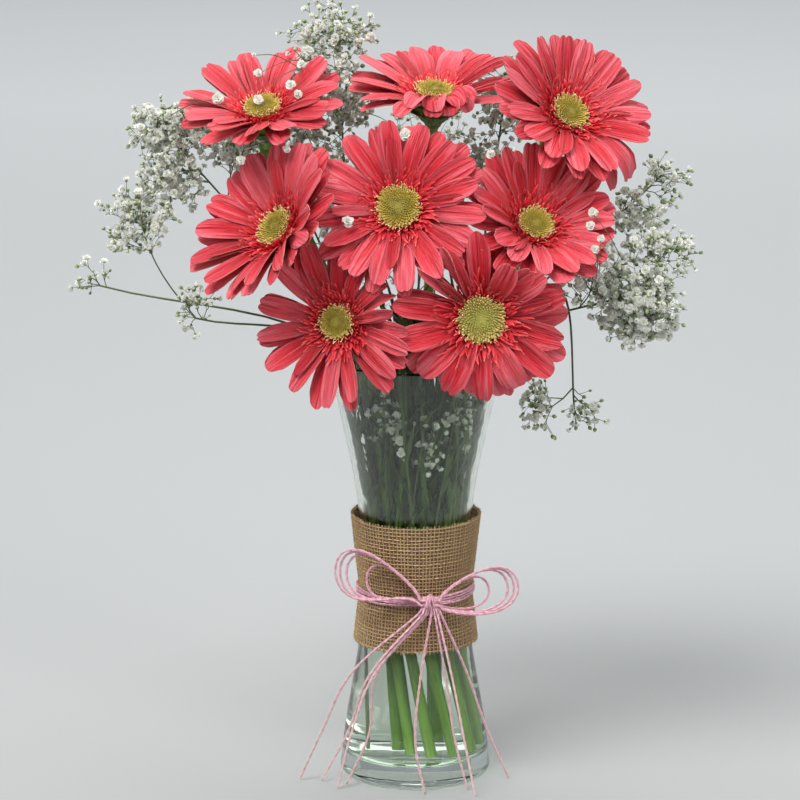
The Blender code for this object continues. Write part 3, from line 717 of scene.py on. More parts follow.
@dataclass(frozen=True)
class ThreadFinish:
    """Spun thread, such as jute or paper twine.

    Attributes:
        name: The material's name.
        dark: Colour between the fibres.
        light: Colour of the fibres.
        far: Colour towards the far end, where side is 1.
        strands: How many strands show round the thread.
        turns: Turns of the fibres in a metre.
        relief: How far the fibres stand out.
    """

    name: str
    dark: Colour
    light: Colour
    far: Colour
    strands: float = 3.0
    turns: float = 180.0
    relief: float = 0.0003

    def material(self) -> bpy.types.Material:
        """Builds the material."""
        made, graph, shader = new_material(self.name)
        along, across, tone, side = (graph.mark(name) for name in MARKS)
        fibres = graph.group(
            Effect.FIBRES.tree(), Along=along, Around=across, Tone=tone, Strands=self.strands, Turns=self.turns
        )
        colour = graph.mix(fibres.outputs["Mask"], self.dark, self.light)
        colour = graph.mix(graph.math("MULTIPLY", side, 0.9), colour, self.far)
        shade = tuple(c * 0.62 for c in self.dark)
        colour = graph.mix(graph.math("MULTIPLY", tone, 0.5), colour, shade)
        # Painted shade: the hollows between the wound fibres, where the relief is low, are darkened.
        colour = graph.mix(graph.span(fibres.outputs["Height"], 0.0, 0.4, 0.5, 0.0), colour, shade)
        graph.feed(shader.inputs["Base Color"], colour)
        graph.feed(shader.inputs["Roughness"], graph.span(fibres.outputs["Mask"], 0.0, 1.0, 0.72, 0.9))
        graph.feed(shader.inputs["Normal"], graph.bump(fibres.outputs["Height"], self.relief, 0.8))
        shader.inputs["Specular IOR Level"].default_value = 0.25
        shader.inputs["Sheen Weight"].default_value = 0.25
        return made


@dataclass(frozen=True)
class ClearFinish:
    """Glass or water. Rays from the lamps pass it, so that what is inside is lit.

    Attributes:
        name: The material's name.
        tint: Colour that it gives to what is behind.
        ior: How strongly it bends light.
        ripple: How uneven its surface is.
        passes: Share of a lamp's light that gets through.
    """

    name: str
    tint: Colour
    ior: float
    ripple: float
    passes: Colour

    def material(self) -> bpy.types.Material:
        """Builds the material."""
        made, graph, shader = new_material(self.name)
        shader.inputs["Base Color"].default_value = (*self.tint, 1.0)
        shader.inputs["Roughness"].default_value = 0.0
        shader.inputs["Transmission Weight"].default_value = 1.0
        shader.inputs["IOR"].default_value = self.ior
        uneven = graph.group(Effect.MOTTLE.tree(), Scale=38.0, Low=0.0, High=1.0).outputs[0]
        graph.feed(shader.inputs["Normal"], graph.bump(uneven, 0.001, self.ripple))
        clear = graph.add("BsdfTransparent", {"Color": self.passes})
        lamp = graph.add("LightPath").outputs["Is Shadow Ray"]
        both = graph.add("MixShader", {0: lamp, 1: shader.outputs[0], 2: clear.outputs[0]})
        graph.feed(made.node_tree.nodes["Material Output"].inputs["Surface"], both.outputs[0])
        return made


@dataclass(frozen=True)
class BackdropFinish:
    """Pale paper under and behind the flowers, darker in front and by the vase and lighter far behind: painted shade
    and painted light.

    Attributes:
        name: The material's name.
        front: Colour well in front of the vase, darker as painted shade.
        near: Colour by the vase, darker as painted shade.
        far: Colour far behind it, lighter as painted light.
    """

    name: str = "pale_backdrop"
    front: Colour = (0.28, 0.285, 0.285)
    near: Colour = (0.40, 0.405, 0.40)
    far: Colour = (0.65, 0.665, 0.665)

    def material(self) -> bpy.types.Material:
        """Builds the material."""
        made, graph, shader = new_material(self.name)
        place = graph.add("TexCoord").outputs["Object"]
        back = graph.add("SeparateXYZ", {0: place}).outputs["Y"]
        cloud = graph.group(Effect.MOTTLE.tree(), Scale=1.4, Low=0.0, High=0.2).outputs[0]
        # Painted light and shade: the sheet is darker in front and by the vase and lighter far behind.
        colour = graph.mix(graph.span(back, -1.2, 0.0, 0.0, 1.0), self.front, self.near)
        colour = graph.mix(graph.span(back, 0.1, 3.0, 0.0, 1.0), colour, self.far)
        colour = graph.mix(graph.math("MULTIPLY", cloud, 0.2), colour, (0.45, 0.46, 0.46))
        graph.feed(shader.inputs["Base Color"], colour)
        shader.inputs["Roughness"].default_value = 0.85
        shader.inputs["Specular IOR Level"].default_value = 0.2
        return made


GLASS = ClearFinish("clear_glass", (0.90, 0.955, 0.90), 1.50, 0.05, (0.90, 0.94, 0.92))
WATER = ClearFinish("still_water", (0.955, 0.98, 0.94), 1.333, 0.0, (0.93, 0.96, 0.94))
JUTE = ThreadFinish("hessian_jute", (0.46, 0.285, 0.125), (0.82, 0.60, 0.32), (0.62, 0.44, 0.24), 3.0, 330.0, 0.00035)
PINK_TWINE = ThreadFinish("pink_twine", (0.78, 0.30, 0.40), (0.96, 0.66, 0.73), (0.86, 0.68, 0.60), 2.0, 210.0, 0.0003)
# Colours of the dark sheet inside the weave: painted shade that shows through the gaps.
WEAVE_GAP_SHADE = ThreadFinish("hessian_gap_shade", (0.12, 0.065, 0.028), (0.26, 0.15, 0.07), (0.2, 0.12, 0.06), 40.0, 500.0)
CORAL = PetalFinish()
FRINGE = SpeckFinish(
    "coral_fringe",
    ((0.0, (0.26, 0.001, 0.003)), (0.40, (0.52, 0.005, 0.012)), (0.75, (0.80, 0.030, 0.045)), (1.0, (0.93, 0.22, 0.19))),
    (0.86, 0.060, 0.080),
    0.5,
)
FILAMENT = SpeckFinish(
    "pale_filaments",
    ((0.0, (0.55, 0.10, 0.03)), (0.5, (0.80, 0.42, 0.14)), (0.8, (0.90, 0.72, 0.32)), (1.0, (0.93, 0.84, 0.48))),
    (0.88, 0.52, 0.25),
)
STEM_GREEN = GreenFinish("gerbera_stem", (0.085, 0.190, 0.020), (0.20, 0.36, 0.045), (0.15, 0.26, 0.03), 7.0, 22.0, 0.42)
CALYX_GREEN = GreenFinish("green_bracts", (0.06, 0.115, 0.022), (0.17, 0.25, 0.06), (0.14, 0.12, 0.05), 4.0, 3.0, 0.6)
LEAF_GREEN = GreenFinish("narrow_leaves", (0.020, 0.042, 0.008), (0.085, 0.135, 0.028), (0.04, 0.065, 0.016), 3.0, 3.0, 0.5)
TWIG_GREEN = GreenFinish("fine_twigs", (0.052, 0.085, 0.032), (0.14, 0.18, 0.075), (0.09, 0.09, 0.05), 3.0, 60.0, 0.6)
BREATH_WHITE = SpeckFinish(
    "white_florets",
    ((0.0, (0.66, 0.74, 0.44)), (0.3, (0.87, 0.89, 0.76)), (1.0, (0.95, 0.95, 0.90))),
    (0.88, 0.90, 0.76),
    0.7,
    0.45,
)
BREATH_BUD = SpeckFinish(
    "green_buds",
    ((0.0, (0.10, 0.16, 0.05)), (0.55, (0.24, 0.32, 0.13)), (1.0, (0.70, 0.74, 0.52))),
    (0.20, 0.27, 0.11),
    0.6,
)


@dataclass
class Studio:
    """The camera, the lamps and the pale sheet that the vase stands on.

    Attributes:
        eye: Where the camera stands.
        down: How far it looks down, in degrees.
        lens: Its focal length in millimetres on a 36 mm frame.
        floor: Height of the sheet.
    """

    eye: Vector = field(default_factory=lambda: Vector((-0.009, -1.9099, 0.6445)))
    down: float = 12.415
    lens: float = 151.4
    floor: float = -0.0002

    def make_camera(self) -> None:
        """The camera at the photograph's place."""
        data = bpy.data.cameras.new("camera")
        data.lens = self.lens
        data.sensor_width = 36.0
        data.sensor_fit = "HORIZONTAL"
        data.clip_start = 0.05
        camera = bpy.data.objects.new("camera", data)
        camera.location = self.eye
        camera.rotation_euler = (math.radians(90.0 - self.down), 0.0, 0.0)
        bpy.context.scene.collection.objects.link(camera)
        bpy.context.scene.camera = camera

    def make_sheet(self) -> None:
        """The floor, which curves up far behind."""
        bend = [(6.5 + 1.5 * math.sin(a), 1.5 - 1.5 * math.cos(a)) for a in np.linspace(0, math.pi / 2, 13)]
        profile = [(-5.0, 0.0), (-1.0, 0.0), (0.0, 0.0), (3.0, 0.0), *bend, (8.0, 6.0)]
        wide = np.linspace(-6.0, 6.0, 9)
        grid = np.array([[(x, y, z + self.floor) for x in wide] for y, z in profile])
        rows, columns = grid.shape[:2]
        number = np.arange(rows * columns).reshape(rows, columns)
        quads = np.stack([number[:-1, :-1], number[:-1, 1:], number[1:, 1:], number[1:, :-1]], axis=-1)
        pile = Pile()
        pile.add(grid.reshape(-1, 3), [quads.reshape(-1, 4)])
        pile.build("pale_sheet", [BackdropFinish().material()], 180.0)

    def add_lamp(self, name: str, place: Vector, aim: Vector, size: tuple[float, float], power: float, spread: float = 180.0) -> None:
        """A soft rectangular lamp.

        Args:
            name: Its name.
            place: Where it hangs.
            aim: The point that it faces.
            size: Its width and height.
            power: Its power in watts.
            spread: The angle that its light fills, in degrees.
        """
        data = bpy.data.lights.new(name, "AREA")
        data.shape = "RECTANGLE"
        data.size, data.size_y = size
        data.energy = power
        data.spread = math.radians(spread)
        lamp = bpy.data.objects.new(name, data)
        lamp.location = place
        lamp.rotation_euler = (aim - place).to_track_quat("-Z", "Y").to_euler()
        bpy.context.scene.collection.objects.link(lamp)

    def make(self) -> None:
        """Sets up the whole studio."""
        self.make_camera()
        self.make_sheet()
        heart = Vector((0.0, 0.0, 0.27))
        self.add_lamp("key", Vector((-0.9, -1.3, 2.5)), heart, (1.3, 1.3), 15.0, 80.0)
        self.add_lamp("fill", Vector((1.5, -1.9, 1.4)), heart, (1.2, 1.4), 4.0, 80.0)
        self.add_lamp("top", Vector((0.1, 0.5, 2.8)), heart, (2.2, 1.6), 16.0, 140.0)
        self.add_lamp("far_top", Vector((0.0, 3.6, 3.4)), Vector((0.0, 3.4, 0.0)), (6.0, 4.0), 105.0)
        world = bpy.data.worlds.new("soft_room")
        world.use_nodes = True
        world.node_tree.nodes["Background"].inputs["Color"].default_value = (0.90, 0.95, 1.0, 1.0)
        world.node_tree.nodes["Background"].inputs["Strength"].default_value = 0.42
        scene = bpy.context.scene
        scene.world = world
        scene.view_settings.view_transform = "Standard"
        scene.view_settings.look = "None"
        scene.view_settings.exposure = 0.0
        scene.cycles.transparent_max_bounces = 32
        scene.cycles.max_bounces = 14
        scene.cycles.diffuse_bounces = 4
        scene.cycles.transmission_bounces = 14
        scene.cycles.sample_clamp_indirect = 6.0
        LOG.info("studio: camera, sheet and lamps")


@dataclass
class TwineBow:
    """The pink twine: turns round the band, a knot, two loops of four strands and eight tails.

    Attributes:
        strands: Strands in each loop, and turns round the band.
        tips: Where the loops' far ends are.
        half_heights: Half the height of each loop.
        rises: How a loop's upper and lower run part from its axis: near the knot, and added by its far end.
        scales: Size of each strand's loop.
        layer: Distance between the strands, front to back.
        tails: Where each tail ends on the table, then how far it bows on its way, near the knot and
            near its end, to the right and to the back.
        tail_step: Distance between the tails at the knot.
        lay_turns: Turns of the twisted twine in a metre.
        step: Length of one piece of the mesh.
    """

    strands: int = 4
    tips: dict[str, Vector] = field(
        default_factory=lambda: {
            "left": Vector((-0.0450, -0.0330, 0.1305)),
            "right": Vector((0.0579, -0.0330, 0.1203)),
        }
    )
    half_heights: dict[str, float] = field(default_factory=lambda: {"left": 0.0165, "right": 0.0138})
    rises: dict[str, tuple[float, ...]] = field(
        default_factory=lambda: {"left": (0.6, 0.8, -0.3, 1.4), "right": (0.6, 0.8, 0.45, 0.55)}
    )
    scales: tuple[float, ...] = (1.0, 0.95, 0.88, 0.66)
    layer: float = 0.0017
    tails: tuple[tuple[float, ...], ...] = (
        (-0.0679, -0.0226, -0.0143, 0.0000, -0.0074, 0.0000),
        (-0.0550, -0.0250, -0.0098, -0.0030, -0.0018, -0.0004),
        (-0.0455, -0.0385, -0.0120, 0.0000, -0.0076, -0.0010),
        (-0.0401, -0.0330, -0.0128, 0.0020, -0.0010, 0.0014),
        (0.0050, -0.0478, -0.0047, 0.0000, -0.0065, 0.0000),
        (0.0302, -0.0410, -0.0004, 0.0000, -0.0020, 0.0000),
        (0.0345, -0.0530, 0.0008, -0.0010, 0.0004, -0.0010),
        (0.0548, -0.0200, 0.0010, 0.0000, -0.0010, 0.0000),
    )
    tail_step: float = 0.00175
    lay_turns: float = 210.0
    step: float = 0.00095

    def loop_line(self, side: str, strand: int) -> list[Vector]:
        """One strand of a loop: out of the knot, round a drop shape and back under itself.

        Args:
            side: left or right.
            strand: Its number, from 0.

        Returns:
            The points of its centreline.
        """
        way = 1.0 if side == "right" else -1.0
        layer = Vector((0.0, (strand - (self.strands - 1) / 2) * self.layer, 0.0))
        start = KNOT + Vector((way * (KNOT_SIZE.x / 2 + TWINE), 0.0, 0.0)) + layer
        reach = (self.tips[side] - KNOT) * self.scales[strand] - Vector((way * KNOT_SIZE.x / 2, 0.0, 0.0))
        rise = Vector((0.0, 0.0, 1.0))
        above, above_far, below, below_far = self.rises[side]
        line = []
        for i in range(33):
            turn = 2 * math.pi * i / 32
            out = (1 - math.cos(turn)) / 2
            part = above + above_far * out if turn < math.pi else below + below_far * out
            high = math.sin(turn) * part * self.half_heights[side] * self.scales[strand]
            line.append(start + reach * out + rise * (high + math.cos(turn / 2) * TWINE))
        inner = KNOT + Vector((way * 0.0016, 0.0, 0.0)) + layer * 0.55
        first = inner + rise * TWINE * 0.8
        last = inner - rise * TWINE * 0.8
        return [first, first.lerp(line[0], 0.55), *line, last.lerp(line[-1], 0.55), last]

    def tail_line(self, number: int) -> list[Vector]:
        """One hanging tail, from inside the knot down to the table."""
        x, y, near_x, near_y, far_x, far_y = self.tails[number]
        across = (number - (len(self.tails) - 1) / 2) * self.tail_step
        start = KNOT + Vector((across, near_y / 2 - 0.001, -KNOT_SIZE.z / 2 - TWINE))
        end = Vector((x, y, TWINE * 0.75))
        near = start.lerp(end, 0.35) + Vector((near_x, near_y, 0.0))
        far = start.lerp(end, 0.7) + Vector((far_x, far_y, 0.0))
        inner = KNOT + Vector((across * 0.35, -0.0006, -0.0008))
        middle = inner.lerp(start, 0.5) + Vector((across * 0.12, -0.0004, 0.0))
        return [inner, middle, *smooth_line([start, near, far, end], 8)]

    def add_hairs(self, pile: Pile, line: Array, draw: random.Random, fade: float) -> None:
        """Loose fibres that stand off a strand."""
        for i in range(2, len(line) - 2, 3):
            if draw.random() < 0.45:
                continue
            way = Vector(line[i + 1] - line[i]).normalized()
            out = way.orthogonal().normalized()
            out.rotate(Matrix.Rotation(draw.uniform(0, 2 * math.pi), 3, way))
            start = Vector(line[i]) + out * TWINE * 0.3
            tip = start + (out * draw.uniform(0.4, 0.9) + way * draw.uniform(-0.7, 0.7)) * 0.0012
            hair = np.array([tuple(start), tuple(tip)])
            pile.add_tube(hair, np.array([0.00007, 0.00003]), tone=0.0, sides=3)
            pile.marks["side"][-1][:] = fade

    def strand(self, name: str, line: Sequence[Vector], number: int, fade: tuple[float, float]) -> tuple[bpy.types.Object, Array]:
        """A piece of twisted twine along a line.

        Args:
            name: The piece's name.
            line: Its centreline.
            number: A number that sets how it is twisted.
            fade: How faded it is at its start and at its end.

        Returns:
            The piece, and its centreline as evenly spaced points.
        """
        draw = random.Random(300 + number)
        places = evenly(line, self.step)
        runs = np.arange(len(places)) * self.step
        turn = 2 * np.pi * (runs * self.lay_turns / 2 + draw.random())
        wide = TWINE * 0.58 * (1 + 0.07 * np.sin(runs * 900 + number) + 0.05 * np.sin(runs * 2300))
        pile = Pile()
        pile.add_tube(places, wide, tone=draw.uniform(0.0, 0.3), sides=8, turn=turn, waist=0.24)
        spread = np.linspace(*fade, len(places))
        pile.marks["side"][-1][:] = np.append(np.repeat(spread, 8), [fade[0], fade[1]])
        self.add_hairs(pile, places, draw, sum(fade) / 2)
        return pile.build(name, [self.finish], 60.0), places

    def make_cords(self) -> None:
        """The loops and tails, each its own piece."""
        lines = [
            (f"bow_{side}_{k + 1}", f"twine_loop_{side}_{k + 1}", self.loop_line(side, k), (0.0, 0.05), "object", "loose")
            for side in self.tips
            for k in range(self.strands)
        ]
        for k in range(len(self.tails)):
            lines.append((f"tail_{k + 1}", f"twine_tail_{k + 1}", self.tail_line(k), (0.05, 0.8), "bare", "hanging"))
        for number, (name, node, line, fade, far_end, lay) in enumerate(lines):
            obj, places = self.strand(name, line, number, fade)
            dress(obj, [node])

    def make_tie(self) -> None:
        """Four turns of twine round the band."""
        pile = Pile()
        count = 160
        for k in range(self.strands):
            height = TIE_HEIGHT + (k - 1.5) * TWINE * 0.98
            turns = np.linspace(0, 2 * np.pi, count)
            radius = between(BAND_OUTLINE, height) + GAP + TWINE * 0.5 + 0.00022 * np.sin(5 * turns + k * 2.0)
            rise = height + 0.00035 * np.sin(3 * turns + k * 1.3) + 0.0008 * np.sin(turns + 1.0)
            line = np.stack([radius * np.cos(turns), radius * np.sin(turns), rise], axis=1)
            runs = np.cumsum(np.full(count, 2 * np.pi * 0.034 / (count - 1)))
            pile.add_tube(line, TWINE * 0.55, tone=0.1 * k, sides=6, turn=np.pi * runs * self.lay_turns, waist=0.24)
        dress(pile.build("tie_turns", [self.finish], 60.0), ["twine_tie"])

    def make_knot(self) -> None:
        """The knot: strands laid through it and three firm turns round them."""
        pile = Pile()
        for k in range(4):
            shift = (k - 1.5) * 0.0014
            turns = np.linspace(0.35 * k, 0.35 * k + 2 * np.pi * 1.02, 50)
            lean = 0.0009 * np.sin(turns + k)
            high = KNOT_SIZE.z / 2 - TWINE / 2 - 0.0009 * abs(k - 1.5) + 0.0004
            deep = KNOT_SIZE.y / 2 - TWINE / 2 - 0.0002
            line = np.stack([KNOT.x + shift + lean, KNOT.y + deep * np.cos(turns), KNOT.z + high * np.sin(turns)], axis=1)
            runs = np.linspace(0, length_of([Vector(p) for p in line]), 50)
            pile.add_tube(line, TWINE * 0.56, tone=0.08 * k, sides=8, turn=np.pi * runs * self.lay_turns, waist=0.24)
        for k in range(6):
            turn = 2 * math.pi * k / 6 + 0.3
            start = KNOT + Vector((-0.0044, 0.0014 * math.cos(turn), 0.0026 * math.sin(turn)))
            end = KNOT + Vector((0.0044, 0.0014 * math.cos(turn + 0.8), 0.0026 * math.sin(turn + 0.8)))
            line = evenly([start, start.lerp(end, 0.5), end], self.step)
            runs = np.arange(len(line)) * self.step
            pile.add_tube(line, TWINE * 0.56, tone=0.05 * k, sides=8, turn=np.pi * runs * self.lay_turns, waist=0.24)
        dress(pile.build("bow_knot", [self.finish], 60.0), ["twine_knot"])

    def make(self) -> None:
        """Makes all the twine."""
        self.finish = PINK_TWINE.material()
        self.make_cords()
        self.make_tie()
        self.make_knot()


def turned(profile: Sequence[tuple[float, float]], steps: int) -> tuple[Array, Faces]:
    """A closed solid turned round Z from a profile that starts and ends on the axis.

    Args:
        profile: (radius, height) points, up the inside or outside and back to the axis.
        steps: How many sides it has.

    Returns:
        Its points and faces.
    """
    inner = profile[1:-1]
    turns = 2 * np.pi * np.arange(steps) / steps
    rings = np.array([[(r * math.cos(t), r * math.sin(t), z) for t in turns] for r, z in inner])
    points = np.concatenate([rings.reshape(-1, 3), [(0, 0, profile[0][1]), (0, 0, profile[-1][1])]])
    ring = np.arange(steps)
    following = (ring + 1) % steps
    base = (np.arange(len(inner) - 1) * steps)[:, None]
    walls = np.stack([base + ring, base + following, base + steps + following, base + steps + ring], axis=-1)
    last = (len(inner) - 1) * steps
    first_cap = np.stack([following, ring, np.full(steps, len(inner) * steps)], axis=-1)
    last_cap = np.stack([last + ring, last + following, np.full(steps, len(inner) * steps + 1)], axis=-1)
    return points, [walls.reshape(-1, 4), first_cap, last_cap]


@dataclass
class GlassVase:
    """The waisted glass with its thick base, and the water in it.

    Attributes:
        steps: Sides of the turned glass.
        rows: Rings up the wall.
        hollow: How far the underside is raised in the middle.
        overlap: How far the water reaches into the glass, so that no air shows between them.
    """

    steps: int = 96
    rows: int = 36
    hollow: float = 0.0016
    overlap: float = 0.00012

    def outer(self, height: float) -> float:
        """The outer radius at a height, on a smooth curve through the outline."""
        heights = [z for z, _ in VASE_OUTLINE[1:]]
        radii = [r for _, r in VASE_OUTLINE[1:]]
        i = int(np.clip(np.searchsorted(heights, height) - 1, 0, len(heights) - 2))
        span = heights[i + 1] - heights[i]
        t = (height - heights[i]) / span
        slopes = np.gradient(radii, heights)
        return float(
            radii[i] * (2 * t**3 - 3 * t**2 + 1)
            + slopes[i] * span * (t**3 - 2 * t**2 + t)
            + radii[i + 1] * (3 * t**2 - 2 * t**3)
            + slopes[i + 1] * span * (t**3 - t**2)
        )

    def inner_side(self, top: float, shift: float = 0.0) -> list[tuple[float, float]]:
        """The inside from the middle of its floor up to a height, moved outwards by a shift."""
        corner = GLASS_BASE + BASE_CORNER
        edge = self.outer(corner) - GLASS_WALL - BASE_CORNER
        floor = GLASS_BASE - shift
        side = [(0.0, floor), (edge * 0.5, floor + 0.0002), (edge * 0.85, floor + 0.0001)]
        for a in np.linspace(0, math.pi / 2, 8):
            reach = BASE_CORNER + shift
            side.append((edge + reach * math.sin(a), corner - reach * math.cos(a)))
        for z in np.linspace(corner, top, self.rows)[1:]:
            side.append((self.outer(z) - GLASS_WALL + shift, float(z)))
        return side

    def make_glass(self) -> None:
        """The glass."""
        inside = self.inner_side(VASE_HEIGHT - GLASS_WALL / 2)
        rim_middle = self.outer(VASE_HEIGHT) - GLASS_WALL / 2 + 0.0001
        rim = [
            (rim_middle - math.cos(a) * GLASS_WALL / 2, VASE_HEIGHT - GLASS_WALL / 2 + math.sin(a) * GLASS_WALL / 2)
            for a in np.linspace(0.35, math.pi - 0.35, 7)
        ]
        outside = [(self.outer(z), float(z)) for z in np.linspace(VASE_HEIGHT - GLASS_WALL / 2, 0.0045, self.rows + 4)]
        low, wide = VASE_OUTLINE[0][1], VASE_OUTLINE[1][1]
        foot = [
            (low + (wide - low) * math.cos(a), 0.0045 - 0.0045 * math.sin(a))
            for a in np.linspace(0.25, math.pi / 2, 6)
        ]
        under = [(low - 0.0018, 0.0001), (low - 0.0050, self.hollow * 0.6), (low * 0.5, self.hollow), (0.0, self.hollow)]
        points, faces = turned(inside + rim + outside + foot + under, self.steps)
        faces = [some[:, ::-1] for some in faces]
        pile = Pile()
        pile.add(points, faces)
        dress(self.outwards(pile.build("glass_vase", [GLASS.material()], 40.0)), ["vase"])

    def make_water(self) -> None:
        """The water, up to its level behind the band."""
        side = self.inner_side(WATER_LEVEL, self.overlap)
        edge = side[-1][0]
        top = [(edge - 0.0006, WATER_LEVEL - 0.0008), (edge - 0.002, WATER_LEVEL - 0.0013), (0.0, WATER_LEVEL - 0.0014)]
        points, faces = turned(side + top, self.steps)
        faces = [some[:, ::-1] for some in faces]
        pile = Pile()
        pile.add(points, faces)
        dress(self.outwards(pile.build("clear_water", [WATER.material()], 40.0)), ["water"])

    def outwards(self, obj: bpy.types.Object) -> bpy.types.Object:
        """Turns the faces so that they look out of the solid."""
        mesh = obj.data
        volume = 0.0
        for face in mesh.polygons:
            volume += face.center.dot(face.normal) * face.area
        if volume < 0:
            mesh.flip_normals()
        return obj

    def make(self) -> None:
        """Makes the glass and the water."""
        self.make_glass()
        self.make_water()


@dataclass
class HessianBand:
    """The band of woven jute: standing and lying threads over a thin dark sheet of painted shade.

    Attributes:
        upright: Threads that run up and down.
        around: Threads that run round the vase.
        radius: Half the width of a thread.
        crimp: How far a thread bends to pass the others.
        depth: How far the middle of the cloth lies inside the CAD band's outside.
    """

    upright: int = 104
    around: int = 35
    radius: float = 0.00054
    crimp: float = 0.00036
    depth: float = 0.00065

    def surface(self, turn: Array, height: Array, out: Array | float) -> Array:
        """Points of the cloth at turns round the axis and heights, moved outwards."""
        low, high = BAND_OUTLINE[0][0], BAND_OUTLINE[-1][0]
        places, radii = zip(*BAND_OUTLINE)
        middle = np.interp(height, places, radii)
        pinch = np.exp(-(((height - TIE_HEIGHT) / 0.010) ** 2))
        middle = middle + 0.0004 * (1 - pinch)
        from_tie = np.minimum(1.0, np.abs(height - TIE_HEIGHT) / max(high - TIE_HEIGHT, TIE_HEIGHT - low))
        wave = 1 + np.sin(BAND_WAVES * turn + 0.8)
        crease = 0.00035 * np.sin(17 * turn + 2.0) * np.exp(-(((height - TIE_HEIGHT) / 0.016) ** 2))
        radius = middle + BAND_WAVE_HEIGHT * 0.5 * wave * from_tie + crease - self.depth + out
        return np.stack([radius * np.cos(turn), radius * np.sin(turn), height], axis=-1)

    def make_gap_shade(self) -> bpy.types.Object:
        """A thin dark sheet inside the weave, painted shade that shows through its gaps."""
        turns = 2 * np.pi * np.arange(91) / 90
        heights = np.linspace(BAND_OUTLINE[0][0] + 0.0008, BAND_OUTLINE[-1][0] - 0.0008, 14)
        turn, height = np.meshgrid(turns, heights)
        grid = self.surface(turn, height, 0.0)
        points, faces = thin_solid(grid, 0.00012)
        across = np.tile(turn.ravel() / (2 * np.pi), 2)
        pile = Pile()
        pile.add(points, faces, along=np.tile(height.ravel(), 2), across=across)
        return dress(pile.build("hessian_sheet", [WEAVE_GAP_SHADE.material()], 60.0))

    def make_threads(self) -> list[bpy.types.Object]:
        """The threads that stand and those that lie, each kind in one piece."""
        draw = random.Random(11)
        jute = JUTE.material()
        low, high = BAND_OUTLINE[0][0], BAND_OUTLINE[-1][0]
        rows = np.linspace(low + 0.0008, high - 0.0008, self.around)
        gap = rows[1] - rows[0]
        standing = Pile()
        for i in range(self.upright):
            turn = 2 * math.pi * (i + draw.uniform(-0.13, 0.13)) / self.upright
            ends = (low - draw.uniform(0.0, 0.0009), high + draw.uniform(0.0, 0.0012))
            height = np.linspace(*ends, self.around * 2 + 1)
            phase = np.pi * (height - rows[0]) / gap
            side = self.crimp * np.cos(phase) * (1 if i % 2 else -1)
            sway = 0.0022 * np.array([noise.noise(Vector((i * 0.9, z * 60, 0.0))) for z in height])
            line = self.surface(turn + sway * 3.0, height, side)
            thick = self.radius * draw.uniform(0.84, 1.15)
            lump = 1 + 0.16 * np.array([noise.noise(Vector((i * 3.7, z * 260, 4.0))) for z in height])
            standing.add_tube(line, thick * lump * 1.05, thick=thick * lump * 0.8, tone=draw.random(), sides=4)
        lying = Pile()
        for k, middle in enumerate(rows):
            turns = np.linspace(0, 2 * np.pi, self.upright * 2 + 1) + 0.4 * k
            phase = self.upright / 2 * turns
            side = -self.crimp * np.cos(phase) * (1 if k % 2 else -1)
            rise = 0.00042 * np.array([noise.noise(Vector((math.cos(t) * 3, math.sin(t) * 3, k * 1.7))) for t in turns])
            line = self.surface(turns, middle + rise, side)
            thick = self.radius * draw.uniform(0.85, 1.15)
            lump = 1 + 0.18 * np.array([noise.noise(Vector((t * 9, k * 2.3, 7.0))) for t in turns])
            lying.add_tube(line, thick * lump * 1.1, thick=thick * lump * 0.8, tone=draw.random(), sides=4)
        return [
            dress(standing.build("hessian_standing_threads", [jute], 70.0)),
            dress(lying.build("hessian_lying_threads", [jute], 70.0)),
            dress(self.frayed(jute)),
        ]

    def frayed(self, jute: bpy.types.Material) -> bpy.types.Object:
        """Loose fibres at both edges of the band and a few over its face."""
        draw = random.Random(12)
        pile = Pile()
        low, high = BAND_OUTLINE[0][0], BAND_OUTLINE[-1][0]
        for i in range(520):
            edge = i % 3
            height = (low + 0.0004, high - 0.0004, draw.uniform(low, high))[edge]
            way = (-1.0, 1.0, draw.uniform(-0.4, 0.4))[edge]
            turn = draw.uniform(0, 2 * math.pi)
            start = Vector(self.surface(np.array(turn), np.array(height), 0.0004))
            out = Vector((math.cos(turn), math.sin(turn), 0.0))
            side = Vector((-out.y, out.x, 0.0))
            reach = Vector((0, 0, way)) + out * draw.uniform(0.1, 0.8) + side * draw.uniform(-0.8, 0.8)
            size = draw.uniform(0.0008, 0.0021)
            bend = side * draw.uniform(-0.4, 0.4) * size
            line = np.array([start, start + reach * size * 0.5 + bend * 0.4, start + reach * size])
            pile.add_tube(line, np.array([0.00009, 0.00007, 0.00002]), tone=draw.random() * 0.4, sides=3)
        return pile.build("hessian_loose_fibres", [jute], 60.0)

    def make(self) -> None:
        sheet = self.make_gap_shade()
        threads = self.make_threads()
        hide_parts("hessian_band")


